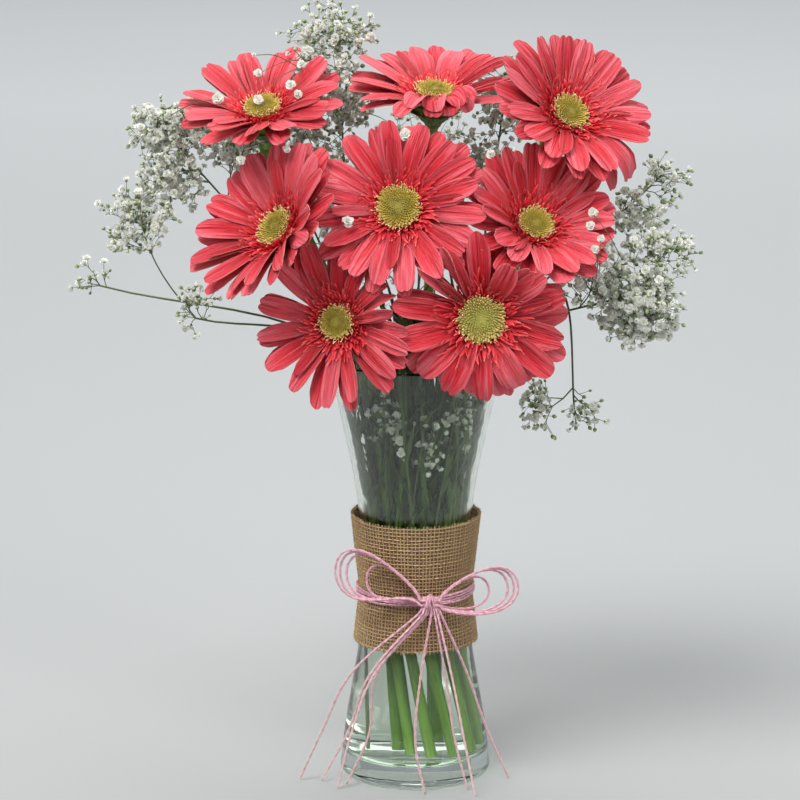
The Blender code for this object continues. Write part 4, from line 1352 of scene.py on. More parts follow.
@dataclass(frozen=True)
class PetalForm:
    """The shape of one petal, which grows along +X with its face up.

    Attributes:
        length: Length along its middle.
        width: Widest width.
        lift: Angle above the flower's plane at the root, in degrees.
        droop: How far it bends back down along its length, in degrees.
        curl: Extra bend of its outer half, in degrees.
        cup: Rise of its edges, as a share of its half width.
        twist: Turn about its own length at the tip, in degrees.
        bow: Sideways bend, as a share of its length.
        claw: Width at the root, as a share of the widest.
        rounding: How far back its rounded end starts, as a share of its length.
        notch: Depth of the notch in its end, as a share of its length.
        roll: Turn about its own length all along, in degrees, which lays one edge over its neighbour.
        ridge: Height of its lengthwise ridges.
        ridges: How many ridges cross half of it.
        thick: Thickness.
    """

    length: float
    width: float
    lift: float
    droop: float
    curl: float = 0.0
    cup: float = 0.12
    twist: float = 0.0
    bow: float = 0.0
    claw: float = 0.52
    rounding: float = 0.20
    notch: float = 0.0
    roll: float = 0.0
    ridge: float = 0.00050
    ridges: float = 1.6
    thick: float = 0.0005

    def grid(self, rows: int, columns: int) -> tuple[Array, Array, Array]:
        """The petal's middle surface.

        Args:
            rows: Steps along it.
            columns: Steps across it.

        Returns:
            Its points by row and column, and the share along and across at each.
        """
        v = np.linspace(-1, 1, columns + 1)
        reach = 1 - self.rounding * (1 - np.sqrt(1 - 0.985 * np.abs(v) ** 2.2)) - self.notch * np.exp(-((v / 0.2) ** 2))
        u = (1 - (1 - np.linspace(0, 1, rows + 1)) ** 1.15)[:, None] * reach
        v = np.broadcast_to(v, u.shape)
        fine = np.linspace(0, 1, 41)
        slopes = np.radians(self.lift - self.droop * fine - self.curl * ease(0.45, 1.0, fine))
        middle = (slopes[1:] + slopes[:-1]) / 2
        step = self.length / 40
        x = np.interp(u, fine, np.concatenate([[0.0], np.cumsum(np.cos(middle) * step)]))
        z = np.interp(u, fine, np.concatenate([[0.0], np.cumsum(np.sin(middle) * step)]))
        angle = np.interp(u, fine, slopes)
        half = self.width / 2 * (self.claw + (1 - self.claw) * ease(0.0, 0.6, u)) * (1 - 0.16 * ease(0.7, 1.0, u))
        turn = np.radians(self.roll + self.twist * u**1.4)
        side = np.stack([-np.sin(turn) * np.sin(angle), np.cos(turn), np.sin(turn) * np.cos(angle)], axis=-1)
        up = np.stack([-np.cos(turn) * np.sin(angle), -np.sin(turn), np.cos(turn) * np.cos(angle)], axis=-1)
        folds = -self.ridge * np.cos(np.pi * self.ridges * v) * ease(0.0, 0.2, u) * (1 - 0.4 * u)
        rise = self.cup * half * v**2 * ease(0.0, 0.35, u) + folds
        centre = np.stack([x, self.bow * self.length * u**2, z], axis=-1)
        return centre + side * (half * v)[..., None] + up * rise[..., None], u, v


@dataclass(frozen=True)
class Mood:
    """A part of a bloom where the petals differ.

    Attributes:
        at: Direction in the bloom, in degrees, from its right towards its top.
        spread: How far to each side of that it reaches, in degrees.
        lift: Degrees added to the lift.
        droop: Degrees added to the droop.
        curl: Degrees added to the curl.
        length: Factor on the length.
        width: Factor on the width.
        twist: Degrees of twist, alternately to each side.
        cup: Added rise of the edges.
    """

    at: float
    spread: float
    lift: float = 0.0
    droop: float = 0.0
    curl: float = 0.0
    length: float = 1.0
    width: float = 1.0
    twist: float = 0.0
    cup: float = 0.0

    def share(self, degrees: float) -> float:
        """How fully the mood holds in one direction, from 0 to 1."""
        apart = abs((degrees - self.at + 180.0) % 360.0 - 180.0)
        return float(1 - ease(self.spread * 0.6, self.spread, apart))


@dataclass
class Bloom:
    """One gerbera: petals, fringe, disc, green cup and stem.

    Attributes:
        number: Its number, from 1.
        place: Middle of its disc.
        facing: The way it faces.
        cup: Lift of its petals, in degrees.
        droop: How far they bend back, in degrees.
        size: Its scale.
        waist: Bearing at which its stem passes the vase's waist.
        counts: Petals in the back, middle and front layers.
        width: Widest width of a petal.
        moods: Where its petals differ.
        disc: Colours of its disc from the middle to the edge.
        disc_radius: Radius of its disc.
        fringe: Length of the longest florets of its fringe.
        turn: Turn of the whole bloom, in degrees.
    """

    number: int
    place: Vector
    facing: Vector
    cup: float
    droop: float
    size: float
    waist: float
    counts: tuple[int, int, int] = (13, 12, 8)
    width: float = 0.0132
    moods: tuple[Mood, ...] = ()
    disc: tuple[tuple[float, Colour], ...] = (
        (0.0, (0.15, 0.115, 0.014)),
        (0.45, (0.25, 0.20, 0.022)),
        (0.75, (0.50, 0.37, 0.055)),
        (1.0, (0.72, 0.54, 0.15)),
    )
    disc_radius: float = 0.0088
    fringe: float = 0.0125
    turn: float = 0.0
    ROOT = 0.0104
    BENDS = (0.0, 5.0, -5.0, 10.0, -10.0, 16.0, -16.0, 23.0, -23.0, 31.0, -31.0, 40.0)

    def frame(self) -> Matrix:
        """The bloom's own frame: middle of its disc at the origin, face along Z, top along Y."""
        turn = self.facing.normalized().to_track_quat("Z", "Y").to_matrix().to_4x4()
        return Matrix.Translation(self.place) @ turn @ Matrix.Scale(self.size, 4)

    def out(self, points: Array, degrees: float = 0.0) -> Array:
        """Points of the bloom's own frame, turned about its face, as points of the scene."""
        place = self.frame() @ Matrix.Rotation(math.radians(degrees), 4, "Z")
        return points @ np.array(place.to_3x3()).T + np.array(place.translation)

    def shaped(self, layer: int, degrees: float, draw: random.Random) -> PetalForm:
        """The form of one petal.

        Args:
            layer: 0 at the back, 2 in front.
            degrees: The direction it grows in.
            draw: The bloom's random draws.

        Returns:
            The form.
        """
        length = (0.0400, 0.0385, 0.0290)[layer] * draw.uniform(0.92, 1.03)
        width = self.width * (1.0, 0.97, 0.60)[layer] * draw.uniform(0.86, 1.12)
        lift = self.cup + (-4.0, 3.0, 6.0)[layer] + draw.uniform(-2.5, 2.5)
        droop = self.droop + draw.uniform(-5.0, 7.0)
        curl = draw.uniform(-8.0, 14.0)
        twist = draw.uniform(-14.0, 14.0)
        cup = draw.uniform(-0.10, 0.30)
        bow = draw.uniform(-0.06, 0.06)
        sign = 1.0 if draw.random() < 0.5 else -1.0
        for mood in self.moods:
            share = mood.share(degrees)
            lift += mood.lift * share
            droop += mood.droop * share
            curl += mood.curl * share
            length *= 1 + (mood.length - 1) * share
            width *= 1 + (mood.width - 1) * share
            twist += mood.twist * share * sign
            cup += mood.cup * share
        return PetalForm(
            length, width, lift, droop, curl, cup, twist, bow,
            claw=draw.uniform(0.58, 0.72), rounding=draw.uniform(0.10, 0.30),
            notch=draw.choice((0.0, 0.0, 0.03, 0.055)), roll=draw.uniform(5.0, 9.0), ridges=draw.choice((1.5, 2.0, 2.5)),
        )

    def clear_form(self, form: PetalForm, height: float, degrees: float, trees: Sequence[BVHTree]) -> tuple[PetalForm, Array]:
        """The form bent just far enough to clear what stands round the bloom.

        Args:
            form: The wished form.
            height: Height of its root in the bloom.
            degrees: Its direction.
            trees: What it has to clear.

        Returns:
            The form to use, and the coarse points that stand for it.
        """
        best = None
        for bend in self.BENDS:
            share = 1 - 0.006 * abs(bend)
            tried = replace(form, length=form.length * share, lift=form.lift + bend)
            coarse = self.out(tried.grid(6, 2)[0] + np.array([self.ROOT, 0.0, height]), degrees)
            own = grids_tree([coarse])
            met = sum(len(own.overlap(tree)) for tree in trees)
            if not met:
                return tried, coarse
            if best is None or met < best[0]:
                best = (met, tried, coarse)
        return best[1], best[2]

    def add_petals(self, pile: Pile, trees: Sequence[BVHTree]) -> list[Array]:
        """Adds the long petals; returns coarse grids that stand for them."""
        draw = random.Random(40 + self.number)
        coarse = []
        for layer, count in enumerate(self.counts):
            height = (-0.0014, 0.0006, 0.0017)[layer]
            for i in range(count):
                degrees = self.turn + 360.0 * (i + 0.5 * layer + draw.uniform(-0.17, 0.17)) / count
                form = self.shaped(layer, degrees, draw)
                form, proxy = self.clear_form(form, height, degrees, trees)
                grid, along, across = form.grid(13, 8)
                grid = self.out(grid + np.array([self.ROOT, 0.0, height]), degrees)
                points, faces = thin_solid(grid, form.thick * self.size * (1 - 0.55 * np.abs(across) ** 3))
                side = np.repeat([0.0, 1.0], grid.shape[0] * grid.shape[1])
                along = along * (0.72 if layer == 2 else 1.0)
                pile.add(points, faces, 0, along=np.tile(along.ravel(), 2), across=np.tile(across.ravel(), 2),
                         tone=draw.random(), side=side)
                coarse.append(proxy)
        return coarse

    def add_heart(self, pile: Pile) -> None:
        """Adds the short drum that the petals grow from."""
        profile = [(0.0, -HEART_HALF), (0.0112, -HEART_HALF), (0.0131, -0.0008), (0.0122, 0.0011), (0.0102, 0.0023), (0.0, 0.0024)]
        points, faces = turned(profile, 24)
        pile.add(self.out(points), faces, 1, along=0.1, tone=0.0)

    def add_fringe(self, pile: Pile) -> None:
        """Adds the rings of narrow curly florets that lie on the petals round the disc."""
        draw = random.Random(60 + self.number)
        rings = (
            (0.0136, 44, 1.00, 8.0),
            (0.0132, 48, 0.82, 15.0),
            (0.0126, 50, 0.64, 25.0),
            (0.0118, 46, 0.47, 38.0),
            (0.0110, 40, 0.33, 54.0),
        )
        shares = np.linspace(0, 1, 5)
        for ring, (radius, count, share, rise) in enumerate(rings):
            radius = max(radius, self.disc_radius + 0.0006)
            for i in range(count):
                degrees = 360.0 * (i + 0.37 * ring + draw.uniform(-0.35, 0.35)) / count
                length = self.fringe * share * draw.uniform(0.72, 1.15)
                fall = rise * draw.uniform(0.2, 1.05)
                tip = draw.uniform(-18.0, 55.0)
                slope = np.radians(self.cup + rise + draw.uniform(-3, 5) - fall * shares + tip * np.maximum(shares - 0.55, 0) * 2)
                x = np.concatenate([[0.0], np.cumsum(np.cos(slope[1:]) * length / 4)])
                z = np.concatenate([[0.0], np.cumsum(np.sin(slope[1:]) * length / 4)])
                bend = draw.uniform(-0.35, 0.35) * length * shares**2
                line = self.out(np.stack([radius + x, bend, 0.0012 + 0.0003 * ring + z], axis=-1), degrees)
                up = self.out(np.array([[0, 0, 0], [-math.sin(slope[0]), 0.0, math.cos(slope[0])]]), degrees)
                wide = self.size * draw.uniform(0.00065, 0.00110) * np.array([0.7, 1.0, 1.0, 0.85, 0.25])
                turn = np.radians(draw.uniform(-50, 50)) * shares
                pile.add_tube(line, wide, slot=1, thick=wide * 0.35, sides=3, up=up[1] - up[0], tone=draw.random(), turn=turn)
                pile.marks["along"][-1] = np.append(np.repeat(shares, 3), [0.0, 1.0])

    def add_disc(self, pile: Pile) -> None:
        """Adds the dome of tiny florets and the pale filaments round it."""
        draw = random.Random(80 + self.number)
        radius, high = self.disc_radius, 0.0036
        base = HEART_HALF - 0.0002
        rim = [(0.0, base - 0.002), (radius, base - 0.002)]
        dome = [(radius * math.cos(a), base + 0.8 * high * math.sin(a)) for a in np.linspace(0.0, 1.45, 6)]
        points, faces = turned(rim + dome + [(0.0, base + 0.8 * high)], 20)
        pile.add(self.out(points), faces, 0, along=0.3, tone=0.4)
        count = 250
        for i in range(count):
            share = math.sqrt((i + 0.5) / count)
            turn = GOLDEN_ANGLE * i
            out = radius * share
            dish = 0.78 + 0.22 * ease(0.0, 0.5, share)
            height = base + 0.82 * high * math.sqrt(max(0.0, 1 - share**2 * 0.96)) * dish
            lean = share * 0.9
            size = radius * (0.046 + 0.030 * share) * draw.uniform(0.85, 1.2)
            tall = size * (1.4 + 2.0 * ease(0.5, 0.95, share)) * draw.uniform(0.6, 1.4)
            way = Vector((math.cos(turn) * math.sin(lean), math.sin(turn) * math.sin(lean), math.cos(lean)))
            foot = Vector((out * math.cos(turn), out * math.sin(turn), height))
            line = self.out(np.array([foot - way * size * 0.5, foot + way * tall]))
            pile.add_tube(line, self.size * size * np.array([0.95, 0.6]), slot=0, sides=4, tone=draw.random())
            pile.marks["along"][-1][:] = min(1.0, share)
        for i in range(110):
            turn = GOLDEN_ANGLE * i * 1.7
            out = draw.uniform(0.82, 1.12) * radius
            lean = draw.uniform(0.1, 0.95)
            length = draw.uniform(0.0024, 0.0050)
            start = Vector((out * math.cos(turn), out * math.sin(turn), base + 0.0002))
            way = Vector((math.cos(turn) * math.sin(lean), math.sin(turn) * math.sin(lean), math.cos(lean)))
            aside = Vector((-math.sin(turn), math.cos(turn), 0.0)) * draw.uniform(-0.4, 0.4)
            line = np.array([start, start + (way + aside * 0.4) * length * 0.7, start + (way + aside) * length])
            wide = self.size * np.array([0.00022, 0.00022, 0.00034])
            pile.add_tube(self.out(line), wide, slot=1, sides=3, tone=draw.random())
            pile.marks["along"][-1] = np.append(np.repeat([0.0, 0.6, 1.0], 3), [0.0, 1.0])

    def stem_line(self) -> tuple[list[Vector], Vector, Vector]:
        """The stem's line from its foot to the green cup, the cup's top and the way it faces."""
        way = self.facing.normalized()
        foot = bearing(self.waist + STEM_TWIST, STEM_FOOT_RADIUS, STEM_FOOT_HEIGHT) + STEM_FOOT_SHIFT
        waist = bearing(self.waist, STEM_WAIST_RADIUS, WATER_LEVEL + 0.006)
        top = self.place - way * (HEART_HALF * self.size + GAP)
        neck = top - way * NECK - Vector((0.0, 0.0, NECK_SAG))
        flat = Vector((neck.x, neck.y, 0.0))
        mouth = flat * min(0.8, STEM_MOUTH_RADIUS / flat.length)
        mouth.z = VASE_HEIGHT
        curve = smooth_line([waist, mouth, neck, top - way * CUP_DEPTH], 8, waist - foot, way)
        straight = [foot.lerp(waist, i / 8) for i in range(8)]
        return straight + curve, top, way

    def make_stem(self, finishes: Sequence[bpy.types.Material]) -> None:
        """The stem with its green cup and rows of bracts."""
        draw = random.Random(20 + self.number)
        line, top, way = self.stem_line()
        cup = [(0.0165, 0.0036), (0.013, 0.0052), (0.0105, 0.0074), (0.008, 0.0094), (0.0055, 0.0112), (0.003, 0.0120), (0.0004, 0.0116)]
        places = [tuple(p) for p in line] + [tuple(top - way * back) for back, _ in cup]
        runs = np.arange(len(line))
        radii = STEM_RADIUS * (0.97 + 0.04 * np.sin(runs * 0.8 + self.number))
        radii = np.concatenate([radii, [radius * self.size for _, radius in cup]])
        pile = Pile()
        pile.add_tube(np.array(places), radii, tone=draw.random(), sides=12)
        spin = Matrix.Translation(top) @ way.to_track_quat("Z", "Y").to_matrix().to_4x4() @ Matrix.Scale(self.size, 4)
        rows = ((0.0150, 0.0040, 13, 0.0085, 22.0), (0.0105, 0.0072, 16, 0.0085, 34.0), (0.0062, 0.0104, 20, 0.0080, 50.0))
        for back, radius, count, length, lean in rows:
            for i in range(count):
                turn = 2 * math.pi * (i + 0.5 * (back > 0.01) + draw.uniform(-0.15, 0.15)) / count
                form = PetalForm(
                    length * draw.uniform(0.85, 1.15), 0.0030, 96 - lean, 14.0, 10.0, -0.3,
                    claw=0.8, rounding=0.6, ridge=0.0001, ridges=1.0,
                )
                grid, along, across = form.grid(3, 2)
                place = spin @ Matrix.Rotation(turn, 4, "Z")
                grid = (grid + np.array([radius, 0.0, -back])) @ np.array(place.to_3x3()).T + np.array(place.translation)
                points, faces = thin_solid(grid, 0.0006)
                pile.add(points, faces, 1, along=np.tile(along.ravel(), 2), across=np.tile(across.ravel(), 2), tone=draw.random())
        dress(pile.build(f"green_stem_{self.number}", finishes, 50.0), [f"gerbera_{self.number}_stem"])

    def make_head(self, finishes: Sequence[bpy.types.Material], trees: Sequence[BVHTree]) -> BVHTree:
        """The petals, the fringe and the disc.

        Args:
            finishes: Materials of petals, fringe and filaments.
            trees: What the petals have to clear.

        Returns:
            A search tree of the petals.
        """
        petals = Pile()
        coarse = self.add_petals(petals, trees)
        self.add_heart(petals)
        self.add_fringe(petals)
        dress(petals.build(f"petals_{self.number}", finishes[:2], 50.0), [f"gerbera_{self.number}_rays"])
        disc = Pile()
        self.add_disc(disc)
        heart = SpeckFinish(f"disc_florets_{self.number}", self.disc, (0.50, 0.40, 0.07), 0.6).material()
        dress(disc.build(f"disc_{self.number}", [heart, finishes[2]], 50.0), [f"gerbera_{self.number}_disc"])
        return grids_tree(coarse)


def grids_tree(grids: Sequence[Array]) -> BVHTree:
    """A search tree of several grids of points."""
    places, faces = [], []
    for grid in grids:
        rows, columns = grid.shape[:2]
        start = len(places)
        places += [tuple(p) for p in grid.reshape(-1, 3)]
        for i in range(rows - 1):
            for k in range(columns - 1):
                a = start + i * columns + k
                faces += [(a, a + columns, a + columns + 1), (a, a + columns + 1, a + 1)]
    return BVHTree.FromPolygons(places, faces)


def node_tree_of(name: str) -> BVHTree:
    """A search tree of a CAD node's surface."""
    mesh = frame["nodes"][name].data
    return BVHTree.FromPolygons([v.co.copy() for v in mesh.vertices], [tuple(p.vertices) for p in mesh.polygons])


BLOOMS = (
    Bloom(
        1, Vector((-0.0874, 0.0050, 0.3915)), Vector((-0.117, -0.449, 0.886)), 21.0, 6.0, 1.03, 150.0, counts=(12, 11, 3),
        fringe=0.0100, moods=(Mood(-90.0, 75.0, lift=3.0, droop=-2.0, curl=-4.0, length=0.95),),
    ),
    Bloom(
        2, Vector((0.0107, 0.0150, 0.3993)), Vector((0.042, -0.353, 0.932)), 20.0, 14.0, 1.03, 65.0, counts=(14, 13, 3),
        fringe=0.0110,
        moods=(
            Mood(-78.0, 58.0, lift=44.0, droop=66.0, curl=40.0, length=0.56, width=0.95, cup=0.35),
            Mood(6.0, 34.0, lift=10.0, length=1.04, width=0.5, twist=38.0),
        ),
    ),
    Bloom(
        3, Vector((0.0866, 0.0000, 0.3905)), Vector((0.400, -0.700, 0.590)), 26.0, 10.0, 1.03, 20.0, counts=(16, 15, 3),
        fringe=0.0140, moods=(Mood(-60.0, 20.0, lift=-6.0, droop=26.0, curl=34.0, length=1.10, width=0.85),),
    ),
    Bloom(
        4, Vector((-0.0768, -0.0360, 0.3300)), Vector((-0.640, -0.520, 0.566)), 30.0, 8.0, 1.09, 190.0, counts=(16, 15, 3),
        fringe=0.0130, moods=(Mood(-130.0, 34.0, length=1.10, droop=4.0),),
    ),
    Bloom(
        5, Vector((-0.0096, -0.0450, 0.3436)), Vector((-0.100, -0.898, 0.428)), 18.0, 12.0, 1.03, 262.0, counts=(17, 16, 4),
        width=0.0120, disc_radius=0.0104, fringe=0.0122,
    ),
    Bloom(
        6, Vector((0.0668, -0.0300, 0.3310)), Vector((0.287, -0.695, 0.653)), 32.0, 8.0, 1.00, 340.0, counts=(16, 15, 3),
        width=0.0135, fringe=0.0140,
    ),
    Bloom(
        7, Vector((-0.0435, -0.0550, 0.2805)), Vector((-0.334, -0.915, 0.229)), 18.0, 14.0, 1.00, 226.0, counts=(15, 14, 3),
        width=0.0118, disc_radius=0.0082, fringe=0.0120,
        moods=(Mood(32.0, 42.0, lift=24.0, droop=34.0, curl=34.0, length=0.78, width=0.7, twist=55.0, cup=0.3),),
    ),
    Bloom(
        8, Vector((0.0364, -0.0600, 0.2840)), Vector((0.026, -0.999, 0.021)), 16.0, 18.0, 1.03, 300.0, counts=(15, 14, 3),
        width=0.0140, disc_radius=0.0112, fringe=0.0165,
        moods=(
            Mood(128.0, 34.0, lift=14.0, width=0.5, twist=50.0, cup=0.5),
            Mood(-95.0, 60.0, lift=4.0, droop=14.0, curl=24.0, length=0.94, width=1.05, cup=0.15),
        ),
        disc=((0.0, (0.34, 0.36, 0.075)), (0.5, (0.48, 0.46, 0.12)), (0.85, (0.62, 0.52, 0.17)), (1.0, (0.74, 0.56, 0.22))),
    ),
)


class Floret(Enum):
    """The stages of a baby's breath flower."""

    OPEN = "open"
    HALF = "half open"
    BUD = "bud"


def folded_petal(length: float, width: float, tilt: float, turn: float, height: float) -> Array:
    """The four corners of a little folded petal that leans out from the Z axis.

    Args:
        length: Its length.
        width: Its width.
        tilt: Its lean from the axis, in radians.
        turn: Its direction round the axis, in radians.
        height: Height of its root.

    Returns:
        Its root, left corner, right corner and raised tip.
    """
    out, rise = math.sin(tilt), math.cos(tilt)
    flat = np.array([(0, 0, 0), (0.72 * length, -width / 2, 0), (0.72 * length, width / 2, 0), (length, 0, 0.22 * length)])
    x = flat[:, 0] * out - flat[:, 2] * rise
    z = flat[:, 0] * rise + flat[:, 2] * out + height
    y = flat[:, 1]
    return np.stack([x * math.cos(turn) - y * math.sin(turn), x * math.sin(turn) + y * math.cos(turn), z], axis=1)


class FloretForms:
    """Ready shapes of baby's breath flowers, a few of each stage, that the sprays are set with."""

    SIZES = {Floret.OPEN: (0.80, 1.20), Floret.HALF: (0.95, 1.40), Floret.BUD: (1.0, 1.5)}

    def __init__(self) -> None:
        """Makes the shapes."""
        draw = random.Random(7)
        self.forms = {stage: [self.make(stage, draw) for _ in range(6)] for stage in Floret}

    def make(self, stage: Floret, draw: random.Random) -> Pile:
        """One flower of a stage, with its foot at the origin and its face along Z."""
        pile = Pile()
        whorls = {
            Floret.OPEN: ((7, 1.50, 0.0026, 0.0006), (6, 1.02, 0.0025, 0.0008), (5, 0.55, 0.0022, 0.0010)),
            Floret.HALF: ((5, 0.80, 0.0022, 0.0006), (3, 0.35, 0.0021, 0.0007)),
            Floret.BUD: (),
        }[stage]
        faces = [np.array([(0, 1, 3), (0, 3, 2), (0, 2, 1), (1, 2, 3)])]
        for count, tilt, length, height in whorls:
            for i in range(count):
                turn = 2 * math.pi * (i + draw.uniform(-0.25, 0.25)) / count + tilt * 2
                long = length * draw.uniform(0.8, 1.15)
                points = folded_petal(long, long * draw.uniform(0.8, 1.1), tilt + draw.uniform(-0.2, 0.2), turn, height)
                pile.add(points, faces, 1, along=np.array([0.1, 0.7, 0.7, 1.0]), tone=draw.random())
        tall = 0.0021 if stage is Floret.BUD else 0.0012
        wide = 0.00095 if stage is Floret.BUD else 0.0007
        line = np.array([(0, 0, 0), (0, 0, tall * 0.35), (0, 0, tall * 0.8)], float)
        points, walls, _ = sweep(line, wide * np.array([0.45, 1.0, 0.7]), sides=4)
        along = np.append(np.repeat([0.0, 0.4, 0.9], 4), [0.0, 1.0])
        points[-1, 2] = tall
        pile.add(points, walls, 2, along=along * (1.0 if stage is Floret.BUD else 0.4), tone=draw.random())
        return pile

    def put(self, pile: Pile, stage: Floret, place: Vector, way: Vector, size: float, draw: random.Random) -> None:
        """Sets one flower into a spray.

        Args:
            pile: The spray's shapes.
            stage: The flower's stage.
            place: Where its foot is.
            way: The way it faces.
            size: Its scale beside others of its stage.
            draw: The spray's random draws.
        """
        form = draw.choice(self.forms[stage])
        size *= draw.uniform(*self.SIZES[stage])
        spin = np.array((way.to_track_quat("Z", "Y").to_matrix() @ Matrix.Rotation(draw.uniform(0, 6.28), 3, "Z")))
        for points in form.points:
            pile.points.append(points @ spin.T * size + np.array(place))
        for some in form.faces:
            pile.faces.append(some + pile.count)
        pile.slots += form.slots
        for name in MARKS:
            pile.marks[name] += form.marks[name]
        pile.count += form.count


@dataclass(frozen=True)
class Lobe:
    """A part of a spray's cloud.

    Attributes:
        middle: Its middle.
        radii: Its half sizes to the right, to the back and upwards.
        tips: How many twigs end in it.
        white: Share of its flowers that are open.
        size: Scale of its flowers.
    """

    middle: Vector
    radii: tuple[float, float, float]
    tips: int
    white: float = 0.5
    size: float = 1.0

    def place(self, draw: random.Random) -> Vector:
        """A place in the lobe, denser to its middle."""
        way = Vector((draw.gauss(0, 1), draw.gauss(0, 1), draw.gauss(0, 1))).normalized()
        far = draw.random() ** 0.45
        return self.middle + Vector(w * r for w, r in zip(way, self.radii)) * far


@dataclass
class Spray:
    """One spray of baby's breath.

    Attributes:
        node: The CAD node that it stands for.
        end: Where its main stem ends.
        waist: Bearing at which the stem passes the vase's waist.
        lobes: The parts of its cloud.
        foot: Height of its foot.
        detour: Degrees by which it passes the mouth beside the straight way.
        crest: A point that it hangs over, if it hangs.
        low: Share of the main stem at which the twigs start.
        number: Seed of its random draws.
    """

    node: str
    end: Vector
    waist: float
    lobes: tuple[Lobe, ...]
    foot: float = 0.0940
    detour: float = 0.0
    crest: Vector | None = None
    low: float = 0.5
    number: int = 0

    def line(self) -> list[Vector]:
        """The main stem's line, as the CAD model has it but with more points."""
        waist = bearing(self.waist, SPRAY_WAIST_RADIUS, WATER_LEVEL + 0.006)
        foot = bearing(self.waist + STEM_TWIST * 0.2, SPRAY_WAIST_RADIUS - 0.0006, self.foot)
        if self.foot < WATER_LEVEL / 2:
            foot = bearing(self.waist + 22.0, SPRAY_WAIST_RADIUS - 0.001, self.foot)
        knots = [waist]
        if self.end.z > VASE_HEIGHT or self.crest:
            aim = math.degrees(math.atan2(self.end.y, self.end.x))
            knots.append(bearing(aim + self.detour, SPRAY_MOUTH_RADIUS, VASE_HEIGHT + 0.002))
        knots += [self.crest, self.end] if self.crest else [self.end]
        return [foot.lerp(waist, i / 4) for i in range(4)] + smooth_line(knots, 8, waist - foot)

    def grow(self, pile: Pile, forms: FloretForms, solid: BVHTree, room: float) -> Array:
        """Grows the twigs to their ends and sets them with flowers.

        Args:
            pile: The spray's shapes.
            forms: The ready flowers.
            solid: What twigs may not pass.
            room: How far an end stays from it.

        Returns:
            Points of the twigs, from which others may branch.
        """
        draw = random.Random(100 + self.number)
        line = np.array([tuple(p) for p in self.line()])
        pile.add_tube(line, SPRAY_STEM * np.linspace(1.0, 0.5, len(line)), tone=draw.random(), sides=6)
        fine = evenly([Vector(p) for p in line], 0.004)
        first = int(self.low * (len(fine) - 1))
        spots = fine[first:]
        ways = unit(np.gradient(fine, axis=0))[first:]
        orders = np.zeros(len(spots))
        ends = [(lobe.place(draw), lobe, 0.050) for lobe in self.lobes for _ in range(lobe.tips)]
        ends.sort(key=lambda row: float(np.min(np.linalg.norm(spots - np.array(row[0]), axis=1))))
        limbs = [(lobe.place(draw).lerp(lobe.middle, 0.4), lobe, 0.110) for lobe in self.lobes for _ in range(2)]
        last = (Vector(fine[-1]) + Vector(ways[-1]) * 0.006, self.lobes[0], 0.050)
        for tip, lobe, longest in limbs + ends + [last]:
            gaps = np.array(tip) - spots
            far = np.linalg.norm(gaps, axis=1)
            lined = np.sum(gaps * ways, axis=1) / np.maximum(far, 1e-9)
            cost = far * (1 + 0.9 * (1 - lined) ** 2) + orders * 0.0018 + (far < 0.003) * 1.0
            pick = int(np.argmin(cost))
            root, way, order = Vector(spots[pick]), Vector(ways[pick]), orders[pick]
            straight = tip - root
            gap = straight.length
            if gap > longest:
                straight *= longest / gap
                gap = longest
            bend = (way * 0.55 + straight.normalized() * 0.8).normalized()
            count = max(2, int(gap / 0.007))
            knots = [
                root + bend * t * gap * (1 - t) * 0.9 + straight * (t * t + t * (1 - t) * 0.35)
                for t in np.linspace(0, 1, count + 1)
            ]
            if self.blocked(knots, solid, room):
                continue
            radius = (0.00038 if longest < 0.1 else 0.00055) / (1 + 0.3 * order)
            places = np.array([tuple(p) for p in knots])
            pile.add_tube(places, np.linspace(radius, radius * 0.62, count + 1), tone=draw.random(), sides=3)
            spots = np.concatenate([spots, places[1:]])
            ways = np.concatenate([ways, unit(np.diff(places, axis=0))])
            orders = np.concatenate([orders, np.full(count, order + 1)])
            self.set_flowers(pile, forms, knots, draw, solid, lobe)
        return spots

    def blocked(self, knots: Sequence[Vector], solid: BVHTree, room: float) -> bool:
        """True if a twig would pass through a petal or a stem, or end too near to one."""
        for a, b in zip(knots, knots[1:]):
            if solid.ray_cast(a, (b - a).normalized(), (b - a).length + 0.0015)[0] is not None:
                return True
        return solid.find_nearest(knots[-1], room)[0] is not None

    def set_flowers(
        self,
        pile: Pile,
        forms: FloretForms,
        knots: Sequence[Vector],
        draw: random.Random,
        solid: BVHTree,
        lobe: Lobe,
    ) -> None:
        """Sets a twig's end with a flower, and its last stretch with one or two more on short stalks."""
        tip, before = knots[-1], knots[-2]
        way = (tip - before).normalized()
        facing = (way + Vector((0, -0.25, 0.2))).normalized()
        forms.put(pile, self.pick(draw, lobe.white), tip, facing, lobe.size, draw)
        turn = draw.uniform(0, 6.28)
        for k in range(draw.choice((1, 1, 2, 2))):
            root = tip.lerp(before, draw.uniform(0.15, 1.0))
            side = way.orthogonal().normalized()
            side.rotate(Matrix.Rotation(turn + 2.3 * k, 3, way))
            reach = draw.uniform(0.0035, 0.0080)
            end = root + (way * draw.uniform(0.5, 0.9) + side * draw.uniform(0.5, 0.9)) * reach
            if solid.ray_cast(root, (end - root).normalized(), (end - root).length + 0.002)[0] is not None:
                continue
            pile.add_tube(np.array([tuple(root), tuple(end)]), np.array([0.00021, 0.00016]), tone=draw.random(), sides=3)
            forms.put(pile, self.pick(draw, lobe.white * 0.75), end, (end - root).normalized(), lobe.size, draw)

    def pick(self, draw: random.Random, open_share: float) -> Floret:
        """A stage for the next flower."""
        value = draw.random()
        if value < open_share:
            return Floret.OPEN
        return Floret.HALF if value < open_share + 0.2 else Floret.BUD


